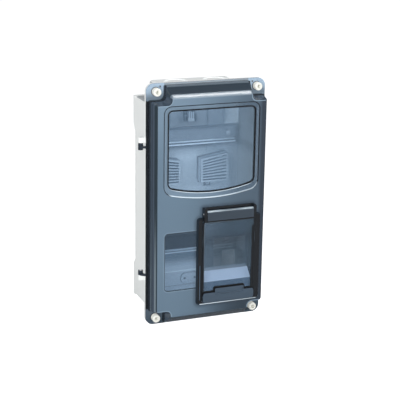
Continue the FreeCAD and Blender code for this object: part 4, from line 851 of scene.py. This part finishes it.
def top_bevel_round(finish, depth):
    """A height that rounds the bevel at the panel's top, so that its gloss fades at both edges."""
    across = finish.math("DIVIDE", finish.math("SUBTRACT", depth, BEVEL_MIDDLE), BEVEL_HALF)
    hump = finish.math("SUBTRACT", 1.0, finish.math("MULTIPLY", across, across), clamp=True)
    return finish.where(hump, BEVEL_TOP, ON_BEVEL)


def smoked_cover(name):
    """The cover's plastic: frosted on the panel, polished in the windows and dark on its sides, with painted
    light, shade and highlights in its zones.
    """
    finish = Finish(name)
    x, z, depth = finish.axes()
    zones = panel_zones(finish, x, z)
    upper_window_zones(finish, zones, x, z)
    side_window_zones(finish, zones, x, z)
    pocket_zones(finish, zones, x, z)
    outer_zones(finish, zones, x, z)
    hump = top_bevel_round(finish, depth)
    grain = finish.where(zones.haze, finish.noise(*COVER_GRAIN), finish.inside(hump, HUMP_START))
    rounded = finish.bump(hump, HUMP_HEIGHT)
    normal = finish.bump(grain, COVER_GRAIN_DEPTH, SMOKED_STRENGTH, rounded)
    return smoked_surface(finish, zones, normal, PANE_TINT)


def smoked_flap(name):
    """The flap's plastic: a darker polished window with a band of painted shade, black borders, painted
    highlights on the window's upper left edge and on the hinge, and a grained finger strip.
    """
    finish = Finish(name)
    x, z = finish.axes()[:2]
    border = finish.blend(finish.noise(*BORDER_CLOUDS), shaded(FLAP_BORDER, BORDER_SHADE), FLAP_BORDER)
    zones = Zones(finish, border, *BORDER_FINISH)
    window = finish.box_gap(x, z, FLAP_WINDOW)
    in_window = finish.inside(window, 0.0)
    pane = finish.blend(finish.where(PANE_LEFT), FLAP_PANE_LEFT, FLAP_PANE_TONE)
    haze = finish.spread(finish.where(PANE_FOOT), *FLAP_PANE_HAZE)
    zones.lay((pane, haze, FLAP_PANE_ROUGH), in_window)
    zones.darken(FLAP_PAINTED_SHADE, *CROSS_PAINTED_SHADE)
    zones.lay(FLAP_RIGHT, *RIGHT_BAND, in_window)
    upper_left = finish.fade(finish.math("SUBTRACT", x, z), *FROM_TOP_LEFT)
    zones.lay(FLAP_PAINTED_HIGHLIGHT, upper_left, finish.band(window, *FLAP_HIGHLIGHT_LINE))
    zones.lay(FLAP_DARK, finish.band(window, *FLAP_LINE))
    strip = finish.math("MINIMUM", finish.box_gap(x, z, FINGER_STRIP), finish.box_gap(x, z, FINGER_TAB))
    zones.lay(STRIP, finish.inside(strip, 0.0))
    zones.lay(STRIP_DARK, STRIP_TOP, finish.band(strip, *STRIP_LINE))
    hinge = finish.where(*ON_HINGE)
    zones.lay(HINGE, hinge)
    zones.lay(HINGE_DARK, hinge, HINGE_FOOT)
    zones.lay(HINGE_TOP, hinge, HINGE_CROWN)
    off_middle = finish.math("ABSOLUTE", finish.math("SUBTRACT", x, HINGE_MIDDLE))
    # A painted highlight along the hinge, strongest toward its ends
    sheen = finish.spread(finish.fade(off_middle, *FROM_HINGE_MIDDLE), *HINGE_HIGHLIGHT_SHARES)
    zones.lay(HINGE_PAINTED_HIGHLIGHT, hinge, *HINGE_LINE, sheen)
    grain = finish.where(zones.haze, finish.noise(*FLAP_GRAIN))
    return smoked_surface(finish, zones, finish.bump(grain, FLAP_GRAIN_DEPTH, SMOKED_STRENGTH), FLAP_TINT)


# Finished copies: soft edges from the mould or the fold, and smooth turned surfaces

# Width of the small radius on the long sharp edges of each moulded or folded piece, in millimetres
SOFT_EDGES = {
    "upper_din_rail": 0.25,
    "lower_din_rail": 0.25,
    "meter_support_left": 0.3,
    "meter_support_right": 0.3,
    "meter_hook": 0.3,
}
# Edges that turn by more than these angles get a small radius, or stay sharp in the shading
SHARP_ANGLE = math.radians(32)
SMOOTH_ANGLE = math.radians(28)
FINE_SMOOTH_ANGLE = math.radians(11)
FLAT_FACED = ("base_housing", "cover", "breaker_door")
LONG_EDGE = 4.5 * MM
# Corners closer than this are one, and faces that turn by less than this are one face
SAME_PLACE = 0.002 * MM
SAME_FACE = math.radians(0.6)


def joined_mesh(node):
    """The part's own triangles joined into whole faces."""
    shape = bmesh.new()
    shape.from_mesh(frame["nodes"][node].data)
    bmesh.ops.remove_doubles(shape, verts=shape.verts, dist=SAME_PLACE)
    bmesh.ops.dissolve_limit(shape, angle_limit=SAME_FACE, verts=shape.verts, edges=shape.edges,
                             delimit=set())
    return shape


def plain_copy(piece):
    """Makes what the modifiers show of a piece its own mesh."""
    bpy.context.view_layer.update()
    seen = piece.evaluated_get(bpy.context.evaluated_depsgraph_get())
    finished = bpy.data.meshes.new_from_object(seen)
    piece.modifiers.clear()
    piece.data = finished


def finish_piece(shape, node, edge):
    """A finished copy of a piece that takes its place in the picture."""
    marks = shape.edges.layers.float.new("bevel_weight_edge")
    for line in shape.edges:
        long = len(line.link_faces) == 2 and line.calc_length() > LONG_EDGE
        if long and line.calc_face_angle(0) > SHARP_ANGLE:
            line[marks] = 1.0
    mesh = bpy.data.meshes.new(node + "_finished")
    shape.to_mesh(mesh)
    shape.free()
    piece = bpy.data.objects.new(node + "_finished", mesh)
    bpy.context.scene.collection.objects.link(piece)
    if edge:
        rounding = piece.modifiers.new("edges", "BEVEL")
        rounding.width = edge * MM
        rounding.segments = 2
        rounding.limit_method = "WEIGHT"
        rounding.use_clamp_overlap = False
        rounding.loop_slide = False
        plain_copy(piece)
    piece.data.shade_smooth()
    piece.data.set_sharp_from_angle(angle=FINE_SMOOTH_ANGLE if node in FLAT_FACED else SMOOTH_ANGLE)
    shading = piece.modifiers.new("shading", "WEIGHTED_NORMAL")
    shading.keep_sharp = True
    plain_copy(piece)
    piece.data.materials.clear()
    piece.data.materials.append(finishes[slots[node]])
    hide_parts(node)
    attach(piece, body_of[node])


# Grown detail: the screws' threads and the swept seal

THREAD_STEPS = 28
RIDGE_SIDES = 3
PATH_STEPS = 12
CORD_STEPS = 4


def grown_tree(name, inputs):
    """A node tree with named inputs, its input node and its output node."""
    tree = bpy.data.node_groups.new(name, "GeometryNodeTree")
    for label, kind in inputs:
        tree.interface.new_socket(label, in_out="INPUT", socket_type="NodeSocket" + kind)
    tree.interface.new_socket("Geometry", in_out="OUTPUT", socket_type="NodeSocketGeometry")
    return tree, tree.nodes.new("NodeGroupInput"), tree.nodes.new("NodeGroupOutput")


def sweep_and_place(tree, given, result, path, profile):
    """Sweeps a profile along a path, turns it to face the front, places it and gives it its material."""
    link = tree.links.new
    sweep = tree.nodes.new("GeometryNodeCurveToMesh")
    sweep.inputs["Fill Caps"].default_value = True
    link(path, sweep.inputs["Curve"])
    link(profile, sweep.inputs["Profile Curve"])
    placed = tree.nodes.new("GeometryNodeTransform")
    placed.inputs["Rotation"].default_value = (math.radians(90), 0, 0)
    link(sweep.outputs["Mesh"], placed.inputs["Geometry"])
    link(given.outputs["Place"], placed.inputs["Translation"])
    realized = tree.nodes.new("GeometryNodeRealizeInstances")
    link(placed.outputs["Geometry"], realized.inputs["Geometry"])
    painted = tree.nodes.new("GeometryNodeSetMaterial")
    link(realized.outputs["Geometry"], painted.inputs["Geometry"])
    link(given.outputs["Material"], painted.inputs["Material"])
    link(painted.outputs["Geometry"], result.inputs["Geometry"])


def thread_tree():
    """A three-sided ridge wound round a shank."""
    tree, given, result = grown_tree("screw_thread", (
        ("Turns", "Float"), ("Radius", "Float"), ("Length", "Float"), ("Ridge", "Float"), ("Place", "Vector"),
        ("Material", "Material")))
    link = tree.links.new
    winding = tree.nodes.new("GeometryNodeCurveSpiral")
    winding.inputs["Resolution"].default_value = THREAD_STEPS
    link(given.outputs["Turns"], winding.inputs["Rotations"])
    link(given.outputs["Radius"], winding.inputs["Start Radius"])
    link(given.outputs["Radius"], winding.inputs["End Radius"])
    link(given.outputs["Length"], winding.inputs["Height"])
    ridge = tree.nodes.new("GeometryNodeCurvePrimitiveCircle")
    ridge.inputs["Resolution"].default_value = RIDGE_SIDES
    link(given.outputs["Ridge"], ridge.inputs["Radius"])
    sweep_and_place(tree, given, result, winding.outputs["Curve"], ridge.outputs["Curve"])
    return tree


def rounded_rectangle(tree, wide, high, corner, steps):
    """A rectangle's outline with rounded corners."""
    outline = tree.nodes.new("GeometryNodeCurvePrimitiveQuadrilateral")
    rounding = tree.nodes.new("GeometryNodeFilletCurve")
    rounding.mode = "POLY"
    rounding.inputs["Count"].default_value = steps
    tree.links.new(wide, outline.inputs["Width"])
    tree.links.new(high, outline.inputs["Height"])
    tree.links.new(corner, rounding.inputs["Radius"])
    tree.links.new(outline.outputs["Curve"], rounding.inputs["Curve"])
    return rounding.outputs["Curve"]


def seal_tree():
    """A soft cord of rounded section laid round the rim."""
    tree, given, result = grown_tree("rim_seal", (
        ("Wide", "Float"), ("High", "Float"), ("Corner", "Float"), ("Cord Wide", "Float"),
        ("Cord Thick", "Float"), ("Cord Corner", "Float"), ("Place", "Vector"), ("Material", "Material")))
    out = given.outputs
    path = rounded_rectangle(tree, out["Wide"], out["High"], out["Corner"], PATH_STEPS)
    cord = rounded_rectangle(tree, out["Cord Wide"], out["Cord Thick"], out["Cord Corner"], CORD_STEPS)
    sweep_and_place(tree, given, result, path, cord)
    return tree


def grown_piece(name, tree, values):
    """What a node tree makes of its inputs, as a plain mesh."""
    piece = bpy.data.objects.new(name, bpy.data.meshes.new(name))
    bpy.context.scene.collection.objects.link(piece)
    growth = piece.modifiers.new("growth", "NODES")
    growth.node_group = tree
    for socket in tree.interface.items_tree:
        if socket.in_out == "INPUT":
            growth[socket.identifier] = values[socket.name]
    plain_copy(piece)
    return piece


# The cover screws: a shank that narrows at its neck, with a thread round it
SHANK_NECK = -97.8 * MM
NECK_SLOPE = 0.2 * MM
CUT_REACH = 0.0001 * MM
NECK_SHARE = 2.42 / 3.0
THREAD = {"Turns": 7.6, "Radius": 2.56 * MM, "Length": 7.6 * MM, "Ridge": 0.38 * MM}
THREAD_START = -89.5 * MM


def threaded_screw(node, tree):
    """A cover screw with its shank narrowed from the neck on and the thread added to it."""
    shape = joined_mesh(node)
    middle = [sum(vert.co[axis] for vert in shape.verts) / len(shape.verts) for axis in (0, 2)]
    for level in (SHANK_NECK - NECK_SLOPE, SHANK_NECK + NECK_SLOPE):
        everything = shape.verts[:] + shape.edges[:] + shape.faces[:]
        bmesh.ops.bisect_plane(shape, geom=everything, dist=CUT_REACH, plane_co=(0, level, 0),
                               plane_no=(0, 1, 0))
    for vert in shape.verts:
        if vert.co.y > SHANK_NECK:
            vert.co.x = middle[0] + (vert.co.x - middle[0]) * NECK_SHARE
            vert.co.z = middle[1] + (vert.co.z - middle[1]) * NECK_SHARE
    values = dict(THREAD, Place=(middle[0], THREAD_START, middle[1]), Material=finishes[slots[node]])
    thread = grown_piece(node + "_thread", tree, values)
    shape.from_mesh(thread.data)
    bpy.data.objects.remove(thread)
    finish_piece(shape, node, 0)


# The seal's centre line and section
SEAL = {"Wide": 218.9 * MM, "High": 442.4 * MM, "Corner": 10.2 * MM, "Cord Wide": 3.5 * MM,
        "Cord Thick": 2.44 * MM, "Cord Corner": 0.9 * MM, "Place": (0.0, -96.55 * MM, 0.0)}


def swept_seal():
    """The cover's seal, swept along the rim's edge and shown instead of the plain ring.

    It is out of place: the solid ring runs inside the screws, round the notched corners of the box wall.
    """
    seal = grown_piece("rim_seal", seal_tree(), dict(SEAL, Material=finishes["soft_rubber"]))
    shape = bmesh.new()
    shape.from_mesh(seal.data)
    bpy.data.objects.remove(seal)
    finish_piece(shape, "cover_gasket", 0)


makers = {
    "light_grey_plastic": housing_plastic,
    "inner_grey_plastic": inner_plastic,
    "white_screw_plastic": screw_plastic,
    "plated_rail_steel": rail_steel,
    "bright_steel": screw_steel,
    "soft_rubber": soft_rubber,
    "smoked_cover_plastic": smoked_cover,
    "smoked_flap_plastic": smoked_flap,
}
finishes = {name: make(name) for name, make in makers.items()}

for node, item in frame["nodes"].items():
    item.data.materials.clear()
    item.data.materials.append(finishes[slots[node]])

thread_growth = thread_tree()
for node in sorted(slots):
    if node == "cover_gasket":
        swept_seal()
    elif node.startswith("cover_screw_") and node != "cover_screw_seals":
        threaded_screw(node, thread_growth)
    else:
        finish_piece(joined_mesh(node), node, SOFT_EDGES.get(node, 0))


# Floor, backdrop, lights and camera

FLOOR_REACH = 6.0
FLOOR_GAP = 0.5 * MM
FLOOR_TONES = ((0.88, 0.88, 0.88), (0.90, 0.90, 0.90))
FLOOR_SPECKS = (400.0, 2.0)
# How much the floor is lifted to white where the camera sees it
FLOOR_LIFT = 0.66
# The studio: its even light, how light its front and its sides look in gloss, and where its dark boards start
# and end from the front (-1) to the back (1). In gloss the floor darkens toward the box in the same way.
STUDIO_TINT = (0.94, 0.97, 1.0)
AMBIENT = 0.42
GLOSS_FRONT = 0.55
GLOSS_SIDES = 0.07
BOARDS = (-0.55, -0.20)
FLOOR_IN_GLOSS = ("depth", 0.30, 0.05)
# The lamps: name, place, aim, width, height and power. A lamp with no aim shines straight down.
LAMPS = (
    ("overhead", (0.44, -0.24, 1.31), None, 0.56, 0.12, 4.6),
    ("front_left", (-1.6, -1.6, 1.0), (0.0, 0.0, 0.0), 1.4, 1.4, 38.0),
    ("front_right", (1.6, -1.8, 0.9), (0.0, 0.0, 0.0), 1.0, 1.0, 24.0),
)


def build_floor():
    """A pale floor that keeps the box's shadow and is lifted to white for the camera."""
    mesh = bpy.data.meshes.new("floor")
    level = cad_bounds[0][2] - FLOOR_GAP
    corners = [(x * FLOOR_REACH, y * FLOOR_REACH, level) for x, y in ((-1, -1), (1, -1), (1, 1), (-1, 1))]
    mesh.from_pydata(corners, [], [(0, 1, 2, 3)])
    floor = bpy.data.objects.new("floor", mesh)
    bpy.context.scene.collection.objects.link(floor)
    finish = Finish("pale_floor")
    finish.axes()
    paint = finish.node("ShaderNodeBsdfDiffuse")
    finish.feed(paint.inputs["Color"], finish.blend(finish.noise(*FLOOR_SPECKS), *FLOOR_TONES))
    path = finish.node("ShaderNodeLightPath").outputs
    seen = finish.math("MAXIMUM", path["Is Camera Ray"], path["Is Transmission Ray"])
    lift = finish.node("ShaderNodeEmission")
    finish.feed(lift.inputs["Strength"], finish.math("MULTIPLY", seen, FLOOR_LIFT))
    lifted = finish.node("ShaderNodeAddShader")
    finish.feed(lifted.inputs[0], paint.outputs[0])
    finish.feed(lifted.inputs[1], lift.outputs[0])
    mirrored = finish.node("ShaderNodeEmission")
    sheen = finish.mix(finish.where(FLOOR_IN_GLOSS), GLOSS_FRONT, GLOSS_SIDES)
    finish.feed(mirrored.inputs["Strength"], sheen)
    shown = finish.node("ShaderNodeMixShader")
    finish.feed(shown.inputs[0], path["Is Glossy Ray"])
    finish.feed(shown.inputs[1], lifted.outputs[0])
    finish.feed(shown.inputs[2], mirrored.outputs[0])
    finish.surface(shown.outputs[0])
    mesh.materials.append(finish.material)


def build_world():
    """White to the camera, an even pale light on the box, and in gloss a light front between dark boards."""
    world = bpy.data.worlds.new("studio")
    world.use_nodes = True
    tree = world.node_tree
    tree.nodes.clear()
    link = tree.links.new
    path = tree.nodes.new("ShaderNodeLightPath").outputs
    way = tree.nodes.new("ShaderNodeSeparateXYZ")
    link(tree.nodes.new("ShaderNodeTexCoord").outputs["Generated"], way.inputs[0])
    boards = tree.nodes.new("ShaderNodeMapRange")
    link(way.outputs["Y"], boards.inputs["Value"])
    ends = ("From Min", "From Max", "To Min", "To Max")
    for name, value in zip(ends, (*BOARDS, GLOSS_FRONT, GLOSS_SIDES)):
        boards.inputs[name].default_value = value
    seen = tree.nodes.new("ShaderNodeMath")
    seen.operation = "MAXIMUM"
    link(path["Is Camera Ray"], seen.inputs[0])
    link(path["Is Transmission Ray"], seen.inputs[1])
    backgrounds = []
    for tint, strength in ((STUDIO_TINT, AMBIENT), (WHITE, 1.0), (WHITE, None)):
        made = tree.nodes.new("ShaderNodeBackground")
        made.inputs["Color"].default_value = (*tint, 1.0)
        if strength is None:
            link(boards.outputs[0], made.inputs["Strength"])
        else:
            made.inputs["Strength"].default_value = strength
        backgrounds.append(made.outputs[0])
    lit_or_seen = tree.nodes.new("ShaderNodeMixShader")
    link(seen.outputs[0], lit_or_seen.inputs[0])
    link(backgrounds[0], lit_or_seen.inputs[1])
    link(backgrounds[1], lit_or_seen.inputs[2])
    with_gloss = tree.nodes.new("ShaderNodeMixShader")
    link(path["Is Glossy Ray"], with_gloss.inputs[0])
    link(lit_or_seen.outputs[0], with_gloss.inputs[1])
    link(backgrounds[2], with_gloss.inputs[2])
    output = tree.nodes.new("ShaderNodeOutputWorld")
    link(with_gloss.outputs[0], output.inputs["Surface"])
    bpy.context.scene.world = world


def soft_light(name, place, target, width, height, power):
    """A rectangular lamp aimed at a point, or straight down with no target."""
    lamp = bpy.data.lights.new(name, "AREA")
    lamp.shape = "RECTANGLE"
    lamp.size = width
    lamp.size_y = height
    lamp.energy = power
    item = bpy.data.objects.new(name, lamp)
    item.location = place
    if target is not None:
        item.rotation_euler = (Vector(target) - Vector(place)).to_track_quat("-Z", "Y").to_euler()
    bpy.context.scene.collection.objects.link(item)


def build_camera():
    """The photograph's view: its place, its turn in radians and its picture angle."""
    place = Vector((-0.7791, -2.0455, 0.6161))
    bearing = 0.376809
    dip = 0.284043
    roll = 0.015484
    focal_pixels = 1197.176
    picture_pixels = 400
    sensor = 36.0
    ahead = Vector((math.sin(bearing) * math.cos(dip), math.cos(bearing) * math.cos(dip), -math.sin(dip)))
    right = ahead.cross(Vector((0, 0, 1))).normalized()
    up = right.cross(ahead)
    side = right * math.cos(roll) + up * math.sin(roll)
    top = up * math.cos(roll) - right * math.sin(roll)
    data = bpy.data.cameras.new("camera")
    data.sensor_width = sensor
    data.lens = focal_pixels / picture_pixels * sensor
    camera = bpy.data.objects.new("camera", data)
    camera.matrix_world = Matrix.Translation(place) @ Matrix((side, top, -ahead)).transposed().to_4x4()
    bpy.context.scene.collection.objects.link(camera)
    bpy.context.scene.camera = camera


build_floor()
build_world()
for lamp in LAMPS:
    soft_light(*lamp)
build_camera()
bpy.context.scene.view_settings.view_transform = "Standard"
